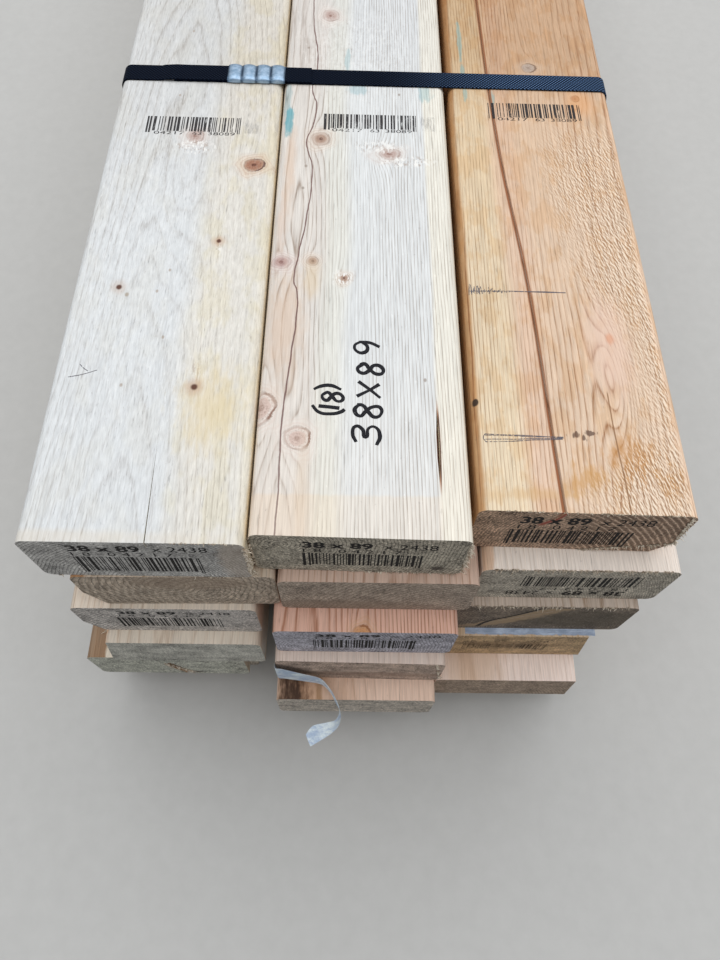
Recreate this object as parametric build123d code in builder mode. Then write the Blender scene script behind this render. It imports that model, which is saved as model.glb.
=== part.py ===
from build123d import *
import os

# A strapped bundle of eighteen framing studs: three columns of six, each stud lying flat.
# +Y runs along the studs, away from the ends that stand uneven, and +Z is up. The origin is
# the middle of the bundle's box, on the floor. All sizes are in millimetres.

# Driving dimensions of the studs
stud_width = 88.9
stud_thickness = 38.1
stud_length = 2438.4
short_stud_length = 2352.7
arris_radius = 4.0

# Driving dimensions of the stack
row_gap = 0.3
column_gap = 1.0

# How the studs lie in each column, from the top row down: the shift to the right of the
# column's place, and the setback of the near end behind the top left stud's near end
lay = {
    "left": ((0.0, 0.0), (8.7, -0.3), (-3.3, -3.1), (-4.5, -10.0), (-18.0, -8.8), (-17.0, 5.2)),
    "middle": ((0.0, 3.5), (8.8, -1.6), (4.2, -13.1), (2.6, -18.7), (1.1, -30.6), (1.6, -16.6)),
    "right": ((1.7, 15.5), (9.2, 5.2), (3.6, 0.5), (2.0, -3.8), (0.8, -18.9), (1.2, -4.9)),
}
short_studs = ("stud_middle_3",)

# Saw cuts that are out of square across the width, in degrees, right side ahead when positive
end_skew = {"stud_middle_1": 0.85, "stud_right_1": 1.05, "stud_left_2": -0.8, "stud_middle_4": 0.65}

# Driving dimensions of the two straps and their crimped seals
strap_width = 12.7
strap_thickness = 0.8
strap_slack = 0.1
strap_from_end = 281.0
strap_lap_before_seal = 45.3
strap_lap_past_seal = 30.5
seal_length = 31.8
seal_short_of_column = 15.6
seal_wall = 0.6
seal_play = 0.15
seal_lobes = 4
seal_crown = 1.0
seal_notch_radius = 1.6
seal_notch_depth = 0.35

# Driving dimensions of the torn wrap
wrap_thickness = 0.15
strip_height = 13.5
strip_root_height = 31.0
strip_slant = 24.0
strip_reach = 25.0
strip_bend_radius = 2.5
strip_corner_room = 1.0
strip_tail_inside = 60.0
strip_clearance = 0.3
scrap_width = 69.0
scrap_depth = 60.0
scrap_from_left = 10.4
scrap_setback = 0.7
scrap_skew = 6.0

# Driving dimensions of the marks that seasoning and sawing left in single studs
season_check_width = 1.1
season_check_depth = 9.0
season_check_lean = 0.45
end_check_width = 0.5
end_check_length = 51.0
end_check_depth = 5.0
end_check_from_left = 50.4
pocket_width = 1.4
pocket_length = 37.0
pocket_depth = 4.0
pocket_from_left = 76.3
pocket_from_end = 23.6
shake_width = 0.9
shake_depth = 8.0
chip_width = 12.0
chip_height = 27.0
chip_depth = 9.0
chip_from_left = 45.0
wane_run = 900.0
wane_outside = 1.0
wane_end_scale = 0.05

# What follows from them
row_count = len(lay["left"])
column_names = tuple(lay)
row_pitch = stud_thickness + row_gap
column_pitch = stud_width + column_gap
strap_rise = strap_thickness + strap_slack
stack_top = strap_rise + row_count * row_pitch - row_gap

left_sides = [column_names.index(c) * column_pitch + shift for c in lay for shift, _ in lay[c]]
near_ends = [setback for c in lay for _, setback in lay[c]]
x_middle = (min(left_sides) + max(left_sides) + stud_width) / 2
strip_tip = min(near_ends) - strip_reach
y_middle = (strip_tip + max(near_ends) + stud_length) / 2


def stud_corner(column, row):
    """Left side, near end and top of one stud in the stack."""
    shift, setback = lay[column][row]
    left = column_names.index(column) * column_pitch + shift - x_middle
    return left, setback - y_middle, stack_top - row * row_pitch


def wane_cutter(column, row, side, width, depth, level=1):
    """Tapering wedge that takes an arris down to the bark line, from the near end back.
    Side is -1 for left and 1 for right, level is 1 for an upper and -1 for a lower arris."""
    left, near, top = stud_corner(column, row)
    edge = left if side < 0 else left + stud_width
    face = top if level > 0 else top - stud_thickness
    slope = width / depth
    with BuildPart() as cutter:
        for y, scale in ((near - wane_outside, 1.0), (near + wane_run, wane_end_scale)):
            w, d, out = width * scale, depth * scale, wane_outside * scale
            with BuildSketch(Plane.XZ.offset(-y)):
                with BuildLine():
                    Polyline(
                        (edge + side * out, face + level * out),
                        (edge - side * (w + out * slope), face + level * out),
                        (edge + side * out, face - level * (d + out / slope)),
                        close=True,
                    )
                make_face()
        loft()
    return cutter.part


# Seasoning check of the top right stud, open at the near end and closing as it runs back
left, near, top = stud_corner("right", 0)
check_path = [(34.2, -2.0), (32.7, 35.0), (30.4, 115.0), (23.8, 210.0), (20.4, 343.0), (19.0, 520.0)]
check_tip = (18.4, 680.0)
with BuildPart() as season_check:
    with BuildSketch(Plane.XY.offset(top)):
        with BuildLine():
            one_side = [(left + x, near + y) for x, y in check_path]
            other_side = [
                (left + x + season_check_width * (1 - y / check_tip[1]), near + y) for x, y in check_path
            ]
            tip = (left + check_tip[0], near + check_tip[1])
            Spline(*one_side, tip)
            Spline(*other_side, tip)
            Line(one_side[0], other_side[0])
        make_face()
    extrude(amount=season_check_depth, dir=(-season_check_lean, 0, -1))

# Short end check of the top left stud
left, near, top = stud_corner("left", 0)
with BuildPart() as end_check:
    with BuildSketch(Plane.XY.offset(top)):
        with BuildLine():
            mouth = (left + end_check_from_left, near - wane_outside)
            Polyline(
                mouth,
                (mouth[0] + end_check_width, mouth[1]),
                (mouth[0] - end_check_width, near + end_check_length),
                close=True,
            )
        make_face()
    extrude(amount=-end_check_depth)

# Pitch pocket of the top middle stud, a narrow lens along the grain
left, near, top = stud_corner("middle", 0)
with BuildPart() as pitch_pocket:
    with BuildSketch(Plane.XY.offset(top)):
        with BuildLine():
            start = (left + pocket_from_left, near + pocket_from_end)
            end = (start[0], start[1] + pocket_length)
            half = (start[1] + end[1]) / 2
            ThreePointArc(start, (start[0] + pocket_width / 2, half), end)
            ThreePointArc(end, (start[0] - pocket_width / 2, half), start)
        make_face()
    extrude(amount=-pocket_depth)

# Shake across the near end of the third right stud
left, near, top = stud_corner("right", 2)
with BuildPart() as end_shake:
    with BuildSketch(Plane.XZ.offset(-near)):
        with BuildLine():
            low = (left + 12.0, top - 33.0)
            high = (left + 48.0, top - 6.0)
            Polyline(low, high, (high[0], high[1] - shake_width), close=True)
        make_face()
    extrude(amount=-shake_depth)

# Splinter torn out of the fifth left stud's near end, along its lower edge
left, near, top = stud_corner("left", 4)
with BuildPart() as end_chip:
    with BuildSketch(Plane.XZ.offset(-near)):
        with BuildLine():
            x0 = left + chip_from_left
            z0 = top - stud_thickness
            Polyline(
                (x0, z0 + chip_height),
                (x0 + chip_width, z0 - wane_outside),
                (x0 + chip_width / 2, z0 - wane_outside),
                (x0 - chip_width / 3, z0 + chip_height * 0.8),
                close=True,
            )
        make_face()
    extrude(amount=-chip_depth)

cuts = {
    "stud_right_1": [season_check.part, wane_cutter("right", 0, 1, 7.0, 10.0, level=-1)],
    "stud_left_1": [end_check.part],
    "stud_middle_1": [pitch_pocket.part],
    "stud_right_3": [end_shake.part],
    "stud_left_2": [wane_cutter("left", 1, -1, 7.0, 17.0, level=-1)],
    "stud_left_3": [wane_cutter("left", 2, -1, 7.0, 15.0, level=-1)],
    "stud_left_4": [wane_cutter("left", 3, -1, 9.0, 58.0)],
    "stud_left_5": [end_chip.part],
    "stud_right_4": [wane_cutter("right", 3, 1, 13.0, 95.0)],
    "stud_right_5": [wane_cutter("right", 4, 1, 9.5, 100.0)],
}

os.makedirs("parts", exist_ok=True)

# Studs
for column in column_names:
    for row in range(row_count):
        name = f"stud_{column}_{row + 1}"
        left, near, top = stud_corner(column, row)
        length = short_stud_length if name in short_studs else stud_length
        with BuildPart() as stud:
            with BuildSketch(Plane.XZ.offset(-(near - arris_radius))):
                with Locations((left + stud_width / 2, top - stud_thickness / 2)):
                    RectangleRounded(stud_width, stud_thickness, arris_radius)
            extrude(amount=-(length + arris_radius))
            saw_cut = Plane(origin=(left + stud_width / 2, near, top), x_dir=(1, 0, 0), z_dir=(0, 1, 0))
            split(bisect_by=saw_cut.rotated((0, 0, -end_skew.get(name, 0))), keep=Keep.TOP)
            for cut in cuts.get(name, ()):
                add(cut, mode=Mode.SUBTRACT)
        stud.part.label = name
        export_step(stud.part, f"parts/{name}.step")

# Outline that a taut strap takes: the hull of the stack's section
with BuildSketch() as stack_core:
    for column in column_names:
        for row in range(row_count):
            left, near, top = stud_corner(column, row)
            with Locations((left + stud_width / 2, top - stud_thickness / 2)):
                Rectangle(stud_width - 2 * arris_radius, stud_thickness - 2 * arris_radius)
    make_hull()

# Straps, each a taut loop with its two ends lapped on top and held by a crimped seal
strap_places = {
    "front": strap_from_end - y_middle,
    "rear": stud_length - strap_from_end - y_middle,
}
seal_middle = column_pitch - seal_short_of_column - x_middle
lap_left = seal_middle - strap_lap_before_seal
lap_right = seal_middle + strap_lap_past_seal
lap_top = stack_top + strap_slack + 2 * strap_thickness
seal_left = seal_middle - seal_length / 2
seal_width = strap_width + 2 * (seal_play + seal_wall)
seal_top = lap_top + seal_play + seal_wall
lobe_pitch = seal_length / seal_lobes
for end_name, y in strap_places.items():
    with BuildPart() as strap:
        with BuildSketch(Plane.XZ.offset(-(y - strap_width / 2))):
            offset(stack_core.sketch, amount=arris_radius + strap_slack + strap_thickness)
            offset(stack_core.sketch, amount=arris_radius + strap_slack, mode=Mode.SUBTRACT)
            with Locations(((lap_left + lap_right) / 2, lap_top - strap_thickness / 2)):
                Rectangle(lap_right - lap_left, strap_thickness)
        extrude(amount=-strap_width)
    strap.part.label = f"strap_{end_name}"
    export_step(strap.part, f"parts/strap_{end_name}.step")

    with BuildPart() as seal:
        with BuildSketch(Plane.XZ.offset(-(y - seal_width / 2))):
            with BuildLine():
                right = seal_left + seal_length
                Polyline((seal_left, seal_top), (seal_left, stack_top), (right, stack_top), (right, seal_top))
                for lobe in range(seal_lobes):
                    start = seal_left + lobe * lobe_pitch
                    ThreePointArc(
                        (start, seal_top),
                        (start + lobe_pitch / 2, seal_top + seal_crown),
                        (start + lobe_pitch, seal_top),
                    )
            make_face()
        extrude(amount=-seal_width)
        channel_height = lap_top + seal_play - stack_top
        with BuildSketch(Plane.YZ.offset(seal_left)):
            with Locations((y, stack_top + channel_height / 2)):
                Rectangle(strap_width + 2 * seal_play, channel_height)
        extrude(amount=seal_length, mode=Mode.SUBTRACT)
        notch_reach = seal_width / 2 + seal_notch_radius - seal_notch_depth
        with BuildSketch(Plane.XY.offset(stack_top)):
            for lobe in range(1, seal_lobes):
                for side in (-1, 1):
                    with Locations((seal_left + lobe * lobe_pitch, y + side * notch_reach)):
                        Circle(seal_notch_radius)
        extrude(amount=seal_top + seal_crown - stack_top, mode=Mode.SUBTRACT)
    seal.part.label = f"strap_{end_name}_seal"
    export_step(seal.part, f"parts/strap_{end_name}_seal.step")

# Torn strip of wrap: it comes out beside the fourth middle stud, crosses that stud's end
# standing on the fifth one, and curls out past it
left, near, top = stud_corner("middle", 3)
_, fifth_near, fifth_top = stud_corner("middle", 4)
strip_inner = left - strip_clearance
strip_front = near - strip_clearance
with BuildPart() as wrap_strip:
    with BuildSketch(Plane.XY.offset(fifth_top + strip_clearance)):
        with BuildLine():
            FilletPolyline(
                (strip_inner, near + strip_tail_inside),
                (strip_inner, strip_front - strip_corner_room),
                (left + 24.0, strip_front - 3.0),
                (left + 32.5, strip_front - 22.5),
                (left + 17.0, strip_tip - y_middle),
                radius=strip_bend_radius,
            )
            offset(amount=wrap_thickness, side=Side.RIGHT)
        make_face()
    extrude(amount=strip_root_height)
    with BuildSketch(Plane.XZ.offset(-(near + strip_tail_inside + wane_outside))):
        with BuildLine():
            low_top = fifth_top + strip_clearance + strip_height
            high_top = fifth_top + strip_clearance + strip_root_height
            Polyline(
                (left - wane_outside, high_top),
                (left + strip_slant, low_top),
                (left + stud_width, low_top),
                (left + stud_width, high_top + wane_outside),
                (left - wane_outside, high_top + wane_outside),
                close=True,
            )
        make_face()
    extrude(amount=stud_width + strip_tail_inside, mode=Mode.SUBTRACT)
wrap_strip.part.label = "wrap_strip"
export_step(wrap_strip.part, "parts/wrap_strip.step")

# Scrap of wrap that lies on the fourth right stud, pinched under the third
left, near, top = stud_corner("right", 3)
scrap_base = top + (row_gap - wrap_thickness) / 2
with BuildPart() as wrap_scrap:
    with BuildSketch(Plane.XY.offset(scrap_base)):
        with BuildLine():
            x0 = left + scrap_from_left
            y0 = near + scrap_setback
            Polyline(
                (x0, y0),
                (x0 + scrap_width - scrap_skew, y0),
                (x0 + scrap_width, y0 + scrap_skew),
                (x0 + scrap_width, y0 + scrap_depth),
                (x0, y0 + scrap_depth),
                close=True,
            )
        make_face()
    extrude(amount=wrap_thickness)
wrap_scrap.part.label = "wrap_scrap"
export_step(wrap_scrap.part, "parts/wrap_scrap.step")
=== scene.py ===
# %% [markdown]
# # A strapped bundle of pine studs
# Eighteen planed framing studs lie flat in three columns of six. Two plastic straps with crimped
# steel seals hold them, and scraps of torn wrap are still caught between the near ends.
# The studs come in as finished solids, so the work here is their finish: growth rings, knots,
# checks, ink and pencil. Straps, seals and wrap are modelled again with the folds, lobes and
# creases that a plain solid leaves out.

# %% Load the fixed frame
import math
import random

import bpy
from mathutils import Matrix, Vector


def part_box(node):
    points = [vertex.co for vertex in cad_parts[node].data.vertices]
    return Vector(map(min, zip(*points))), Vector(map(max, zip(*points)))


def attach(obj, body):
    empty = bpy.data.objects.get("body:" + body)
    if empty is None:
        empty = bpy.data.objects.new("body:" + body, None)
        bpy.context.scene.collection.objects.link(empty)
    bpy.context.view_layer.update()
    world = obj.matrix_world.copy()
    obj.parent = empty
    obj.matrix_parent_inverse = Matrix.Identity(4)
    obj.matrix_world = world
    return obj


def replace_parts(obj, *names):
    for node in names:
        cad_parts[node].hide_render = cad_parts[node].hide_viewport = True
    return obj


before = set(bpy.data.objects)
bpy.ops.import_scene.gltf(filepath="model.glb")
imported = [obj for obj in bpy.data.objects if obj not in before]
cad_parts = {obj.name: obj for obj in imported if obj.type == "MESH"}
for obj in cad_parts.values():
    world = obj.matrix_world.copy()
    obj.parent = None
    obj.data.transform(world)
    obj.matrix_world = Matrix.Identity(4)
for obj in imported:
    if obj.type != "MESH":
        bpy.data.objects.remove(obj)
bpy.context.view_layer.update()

scene = bpy.context.scene
mm = 0.001
bpy.ops.object.select_all(action="DESELECT")

# %% [markdown]
# ## Camera, floor and light
# The picture was taken with a wide phone lens, held above the near ends and tipped steeply down.
# The camera could be set by eye, but here its place came from the studs' known size, so that each
# end and arris falls where it does in the picture.

# %% Camera
camera_data = bpy.data.cameras.new("camera")
camera_data.lens = 27.336
camera = bpy.data.objects.new("camera", camera_data)
camera.location = (-0.00131, -1.30371, 0.49431)
camera.rotation_euler = [math.radians(angle) for angle in (26.847, -1.322, 0.421)]
scene.collection.objects.link(camera)
scene.camera = camera

# %% [markdown]
# A material is a tree of nodes, and a long tree is hard to read as a list of links. So one small
# class stands for a socket, and sums and products of such sockets add the Math nodes. A second
# class holds a material and makes every other node with a single method.


# %% Shader helpers
class Field:
    """A number or colour that varies over a surface: one output socket of a material."""

    def __init__(self, finish, socket):
        self.finish = finish
        self.socket = socket

    def output(self, name):
        """Another output of the same node."""
        return Field(self.finish, self.socket.node.outputs[name])

    def maths(self, operation, *values):
        return self.finish.node("Math", {"operation": operation}, dict(enumerate(values)))

    def __add__(self, other):
        return self.maths("ADD", self, other)

    def __radd__(self, other):
        return self.maths("ADD", other, self)

    def __sub__(self, other):
        return self.maths("SUBTRACT", self, other)

    def __rsub__(self, other):
        return self.maths("SUBTRACT", other, self)

    def __mul__(self, other):
        return self.maths("MULTIPLY", self, other)

    def __rmul__(self, other):
        return self.maths("MULTIPLY", other, self)

    def __truediv__(self, other):
        return self.maths("DIVIDE", self, other)

    def __rtruediv__(self, other):
        return self.maths("DIVIDE", other, self)

    def __abs__(self):
        return self.maths("ABSOLUTE", self)

    def root(self):
        return self.maths("SQRT", self)

    def fraction(self):
        return self.maths("FRACT", self)

    def largest(self, other):
        return self.maths("MAXIMUM", self, other)

    def rise(self, low, high):
        """0 below low, 1 above high and a smooth rise between. It falls if low is the larger."""
        settings = {"interpolation_type": "SMOOTHSTEP"}
        return self.finish.node("MapRange", settings, {0: self, 1: low, 2: high})

    def between(self, low, high, soft):
        """1 between two values and 0 outside them, with soft edges."""
        return self.rise(low - soft, low + soft) * self.rise(high + soft, high - soft)


def distance(dx, dy):
    """How far a point lies from another, from its distances along two axes."""
    return (dx * dx + dy * dy).root()


class Finish:
    """A material under construction."""

    def __init__(self, name):
        self.material = bpy.data.materials.new(name)
        self.material.use_nodes = True
        self.tree = self.material.node_tree
        coordinates = self.node("TexCoord", out="Object")
        self.place = self.node("Mapping", {}, {"Vector": coordinates, "Scale": (1 / mm,) * 3})
        self.normal = self.node("NewGeometry", out="Normal")

    def plug(self, socket, value):
        """Give a socket a link, a colour or a number."""
        if isinstance(value, Field):
            self.tree.links.new(value.socket, socket)
        elif socket.type == "RGBA":
            socket.default_value = (*value, 1)
        else:
            socket.default_value = value

    def node(self, kind, settings=(), sockets=(), out=0):
        """Any node: its settings are made first, then its sockets get their values or links."""
        made = self.tree.nodes.new("ShaderNode" + kind)
        for name, value in dict(settings).items():
            if name == "stops":
                ramp = made.color_ramp.elements
                while len(ramp) < len(value):
                    ramp.new(0.5)
                for element, (position, shade) in zip(ramp, value):
                    element.position = position
                    element.color = (shade, shade, shade, 1)
            elif name == "points":
                curve = made.mapping.curves[0].points
                while len(curve) < len(value):
                    curve.new(0.5, 0.5)
                for point, position in zip(curve, value):
                    point.location = position
                made.mapping.update()
            else:
                setattr(made, name, value)
        for name, value in dict(sockets).items():
            self.plug(made.inputs[name], value)
        return Field(self, made.outputs[out])

    def axes(self, vector):
        """The three parts of a vector."""
        first = self.node("SeparateXYZ", {}, {0: vector})
        return [first.output(axis) for axis in "XYZ"]

    def mix(self, factor, first, second, how="MIX"):
        """The first colour, turned into the second where factor is 1."""
        settings = {"data_type": "RGBA", "blend_type": how}
        return self.node("Mix", settings, {0: factor, 6: first, 7: second}, 2)

    def brighten(self, colour, factor):
        """A colour times a number."""
        return self.node("VectorMath", {"operation": "SCALE"}, {0: colour, "Scale": factor})

    def noise(self, size, detail=2.0, roughness=0.5, seed=0.0, place=None):
        """Noise of about the given size in millimetres on each axis, from 0 to 1."""
        shift = (seed, seed * 1.7 + 3.1, seed * 0.6 + 7.7)
        sockets = {0: place or self.place, 1: tuple(1 / s for s in size), 2: shift}
        stretched = self.node("VectorMath", {"operation": "MULTIPLY_ADD"}, sockets)
        sockets = {"Vector": stretched, "Scale": 1.0, "Detail": detail, "Roughness": roughness}
        return self.node("TexNoise", {}, sockets)

    def bump(self, height, depth, strength=1.0):
        """Surface relief: a height from 0 to 1 that stands for a depth in millimetres."""
        sockets = {"Height": height, "Distance": depth * mm, "Strength": strength}
        return self.node("Bump", {}, sockets)

    def surface(self, colour, roughness, **others):
        """Join values to the shader, with _ for a blank in their names, and return the material."""
        values = {"Base Color": colour, "Roughness": roughness, **others}
        for name, value in values.items():
            self.plug(self.tree.nodes["Principled BSDF"].inputs[name.replace("_", " ")], value)
        return self.material


# %% [markdown]
# The floor is a plain pale sheet that shows only the bundle's shadow. Most of the light comes from
# a wide lamp overhead, set back from the near ends, so the top faces are bright and the sawn ends
# stay in soft shade, as under an open sky. A pale floor would throw much light back up, so it is
# pale to the camera and in reflections, and darker for the light that it scatters.

# %% Floor
floor_size = 30.0
floor_tones = ((0.50, 0.50, 0.49), (0.56, 0.56, 0.55))
floor_scatter = (0.25, 0.25, 0.24)
bpy.ops.mesh.primitive_plane_add(size=floor_size, location=(0, 0, 0))
floor = bpy.context.object
floor.name = "floor"
floor_finish = Finish("floor_paint")
paths = floor_finish.node("LightPath", out="Is Camera Ray")
seen = paths.largest(paths.output("Is Glossy Ray")).largest(paths.output("Is Transmission Ray"))
speckle = floor_finish.noise((9, 9, 9), 4.0, 0.6)
floor_pale = floor_finish.mix(speckle, *floor_tones)
floor_colour = floor_finish.mix(seen, floor_scatter, floor_pale)
floor.data.materials.append(floor_finish.surface(floor_colour, 0.9, Specular_IOR_Level=0.1))

# %% Lamps and world
sky_strength = 0.5
sky_colour = (0.97, 0.985, 1.0, 1)
lamp_size = 5.0
lamp_place = (0.25, 0.35, 3.2)
lamp_power = 118.0
bpy.ops.object.light_add(type="AREA", location=lamp_place)
lamp = bpy.context.object
lamp.name = "overhead_lamp"
lamp.data.size = lamp_size
lamp.data.energy = lamp_power
world = bpy.data.worlds.new("sky")
world.use_nodes = True
background = world.node_tree.nodes["Background"].inputs
background["Color"].default_value = sky_colour
background["Strength"].default_value = sky_strength
scene.world = world
scene.view_settings.view_transform = "Standard"
print("lamp power", lamp_power, "watts, sky strength", sky_strength)

# %% [markdown]
# ## Planed pine
# The grain on a stud's face and the rings on its sawn end are cuts through the same growth rings.
# A picture wrapped round the stud could never agree with itself there. So the pattern is solid:
# the distance from the tree's pith, which runs along the stud and sways a little, is divided into
# yearly rings, each pale at first and darkening to a sharp line of late wood. Where a branch
# passed through, the rings swell and bend round a knot.

# %% Pine palette
knot_tones = {
    "pink": {"core": (0.52, 0.39, 0.35), "rim": (0.25, 0.13, 0.10), "halo": (0.80, 0.74, 0.69),
             "soft": 0.6, "heart": 0.6},
    "red": {"core": (0.37, 0.165, 0.10), "rim": (0.10, 0.03, 0.018), "halo": (0.74, 0.56, 0.40),
            "heart": 0.8},
    "plum": {"core": (0.47, 0.31, 0.29), "rim": (0.20, 0.09, 0.08), "halo": (0.80, 0.73, 0.70),
             "soft": 1.0, "heart": 0.75},
    "tan": {"core": (0.42, 0.27, 0.20), "rim": (0.15, 0.075, 0.055), "halo": (0.80, 0.71, 0.62),
            "soft": 0.8, "heart": 0.8},
    "grey": {"core": (0.46, 0.37, 0.31), "rim": (0.22, 0.14, 0.10), "halo": (0.66, 0.48, 0.34)},
    "amber": {"core": (0.66, 0.33, 0.15), "rim": (0.34, 0.14, 0.06), "halo": (0.76, 0.50, 0.36)},
    "pale": {"core": (0.66, 0.51, 0.45), "rim": (0.26, 0.15, 0.11), "halo": (0.80, 0.73, 0.67),
             "ring": 0.8},
}
resin_black = (0.05, 0.015, 0.01)
paint_on_pale, paint_on_tan = (0.07, 0.36, 0.43), (0.16, 0.44, 0.46)


# %% Pine finish
def near_corner(stud):
    """The left side, near end and top of a stud, in metres."""
    low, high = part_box(stud)
    return Vector((low.x, low.y, high.z))


class Pine(Finish):
    """Planed pine for one stud, with places in millimetres from its near top left corner."""

    def __init__(self, stud, pith, ring, early, late, sawn, contrast, seed, knots=(), swells=(), sway=9.0,
                 taper=0.012, far_knots=420.0, curl=(-50.0, 0.0), fibre=1.0, thread=15.0, rough_end=1.0):
        super().__init__("pine_" + stud)
        self.stud = stud
        self.place.socket.node.inputs["Location"].default_value = near_corner(stud) / -mm
        self.x, self.y, self.z = self.axes(self.place)
        across, along, up = self.axes(self.normal)
        self.on_top = up.rise(0.2, 0.7)
        self.on_side = abs(across).rise(0.88, 0.98)
        self.on_end = abs(along).rise(0.5, 0.8)
        self.off_end = 1 - self.on_end
        self.seed = seed
        self.sawn = sawn
        self.rough_end = rough_end
        self.end_marks = []
        self.knots = [self.knot_at(*knot) for knot in knots] + [self.scattered_knots(far_knots)]
        rings = self.rings(pith, ring, sway, taper, swells, curl)
        self.colour_faces(rings, early, late, contrast, fibre, thread)

    def paint(self, mask, colour, how="MIX"):
        """Turn the wood's colour into another one where the mask is 1."""
        self.colour = self.mix(mask, self.colour, colour, how)

    def tint(self, mask, colour):
        """Multiply the wood's colour by another one where the mask is 1."""
        self.paint(mask, colour, "MULTIPLY")

    def knot_at(self, x, y, across, along, tone, bend=1.0):
        """A knot at a given place, with its half width and half length."""
        return self.knot(self.x - x, (self.y - y) * (across / along), across, tone, bend)

    def knot(self, dx, dy, size, tone, bend):
        """What the rings and colours need of a knot: how far it is, and how far the grain that
        flows round it is, both squared and in knot sizes."""
        area = size * size
        square = (dx * dx + dy * dy) / area
        flow = (dx * dx + dy * dy * 0.14) / area
        return {"dx": dx, "square": square, "flow": flow, "size": size, "tone": tone, "bend": bend}

    def scattered_knots(self, start):
        """Knots strewn at random beyond a distance from the near end, one to a cell at most."""
        cell = (74.0, 310.0)
        sockets = {0: self.place, 1: (1 / cell[0], 1 / cell[1], 0), 2: (self.seed * 3.3, self.seed, 0)}
        grid = self.node("VectorMath", {"operation": "MULTIPLY_ADD"}, sockets)
        settings = {"voronoi_dimensions": "2D"}
        cells = self.node("TexVoronoi", settings, {"Vector": grid, "Scale": 1.0, "Randomness": 0.85})
        offset = self.node("VectorMath", {"operation": "SUBTRACT"}, {0: grid, 1: cells.output("Position")})
        across, along, _ = self.axes(offset)
        draw, size, _ = self.axes(cells.output("Color"))
        dx = across * cell[0]
        dy = along * (cell[1] / 1.25)
        size = 3.0 + size * 6.5
        gone = 1 - draw.rise(0.38, 0.40) * self.y.rise(start, start + 15)
        depth = self.z + 19
        rounded = self.on_side * depth * depth / (size * size)
        knot = self.knot(dx, dy, size, "red", 1.0)
        knot["square"] = knot["square"] + gone * 1000 + rounded
        knot["flow"] = knot["flow"] + gone * 1000
        return knot

    def rings(self, pith, ring, sway, taper, swells, curl):
        """The share of a year's growth at each point, from 0 to 1. Swells are long bulges of the
        rings, given by middle, half width, half length and height. Curl is how far in from the
        left the grain is wild, and by how much."""
        bent = self.x
        lift = 0.0
        for knot in self.knots:
            near = 1 / (1 + 0.35 * knot["flow"])
            near = near * near
            bent = bent - knot["dx"] * near * (0.8 * min(knot["bend"], 1.1))
            lift = lift + near * knot["size"] * (0.6 * knot["bend"])
        for x, y, across, along, height in swells:
            dx = (self.x - x) / across
            dy = (self.y - y) / along
            lift = lift + height / (1 + dx * dx + dy * dy)
        if curl[1]:
            wild = self.noise((12, 90, 12), 1.0, 0.5, self.seed + 61)
            wild = (wild - 0.5) * (2 * curl[1])
            lift = lift + wild * self.x.rise(curl[0] + 7, curl[0] - 7) * self.y.rise(700, 300)
        drift = self.noise((900, 420, 900), 1.0, 0.4, self.seed)
        drop = self.noise((900, 640, 900), 1.0, 0.4, self.seed + 40)
        dx = bent - pith[0] + (drift - 0.5) * (2 * sway)
        dz = self.z - pith[1] + (drop - 0.5) * (3 * sway) + self.y * taper
        radius = distance(dx, dz) + lift
        ripple = self.noise((13, 80, 13), 2.0, 0.5, self.seed + 11)
        pace = self.noise((30, 900, 30), 2.0, 0.5, self.seed + 5)
        return ((radius + (ripple - 0.5) * (1.6 * ring)) / ring + (pace - 0.5) * 3).fraction()

    def colour_faces(self, rings, early, late, contrast, fibre, thread):
        """Long grain: rings, fibres and slow changes of tone."""
        stops = ((0.0, 0.3), (0.08, 0.0), (0.58, 0.05), (0.80, 0.4), (0.92, 1.0), (1.0, 0.3))
        self.threads = self.noise((0.6, thread, 0.6), 2.0, 0.6, self.seed + 2)
        broken = self.threads.rise(0.64, 0.40) * 0.7 + 0.6
        self.late = self.node("ValToRGB", {"stops": stops}, {0: rings}) * broken
        self.worn = self.noise((3.5, 12, 3.5), 3.0, 0.65, self.seed + 6) - 0.5
        self.wander = self.noise((30, 110, 30), 1.0, 0.5, self.seed + 7) - 0.5
        self.flecks = self.noise((1.3, 3.4, 1.3), 2.0, 0.6, self.seed + 37)
        self.streaks = streaks = self.noise((2.2, 95, 2.2), 2.0, 0.6, self.seed + 3)
        fade = self.noise((38, 210, 38), 1.0, 0.5, self.seed + 4)
        strength = self.late * (fade.rise(0.2, 0.7) * contrast + contrast * 0.4)
        tears = self.threads.rise(0.38, 0.26) * streaks.rise(0.40, 0.62)
        pits = self.flecks.rise(0.66, 0.74) * 0.10 - self.flecks.rise(0.32, 0.24) * 0.16
        tone = 1 + (self.threads - 0.5) * (0.36 * fibre) + (streaks - 0.5) * (0.13 * fibre)
        self.colour = self.brighten(self.mix(strength, early, late), tone + pits - tears * (0.16 * fibre))
        self.relief = self.threads
        self.gloss = 0.62 + self.threads * 0.2

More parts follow.
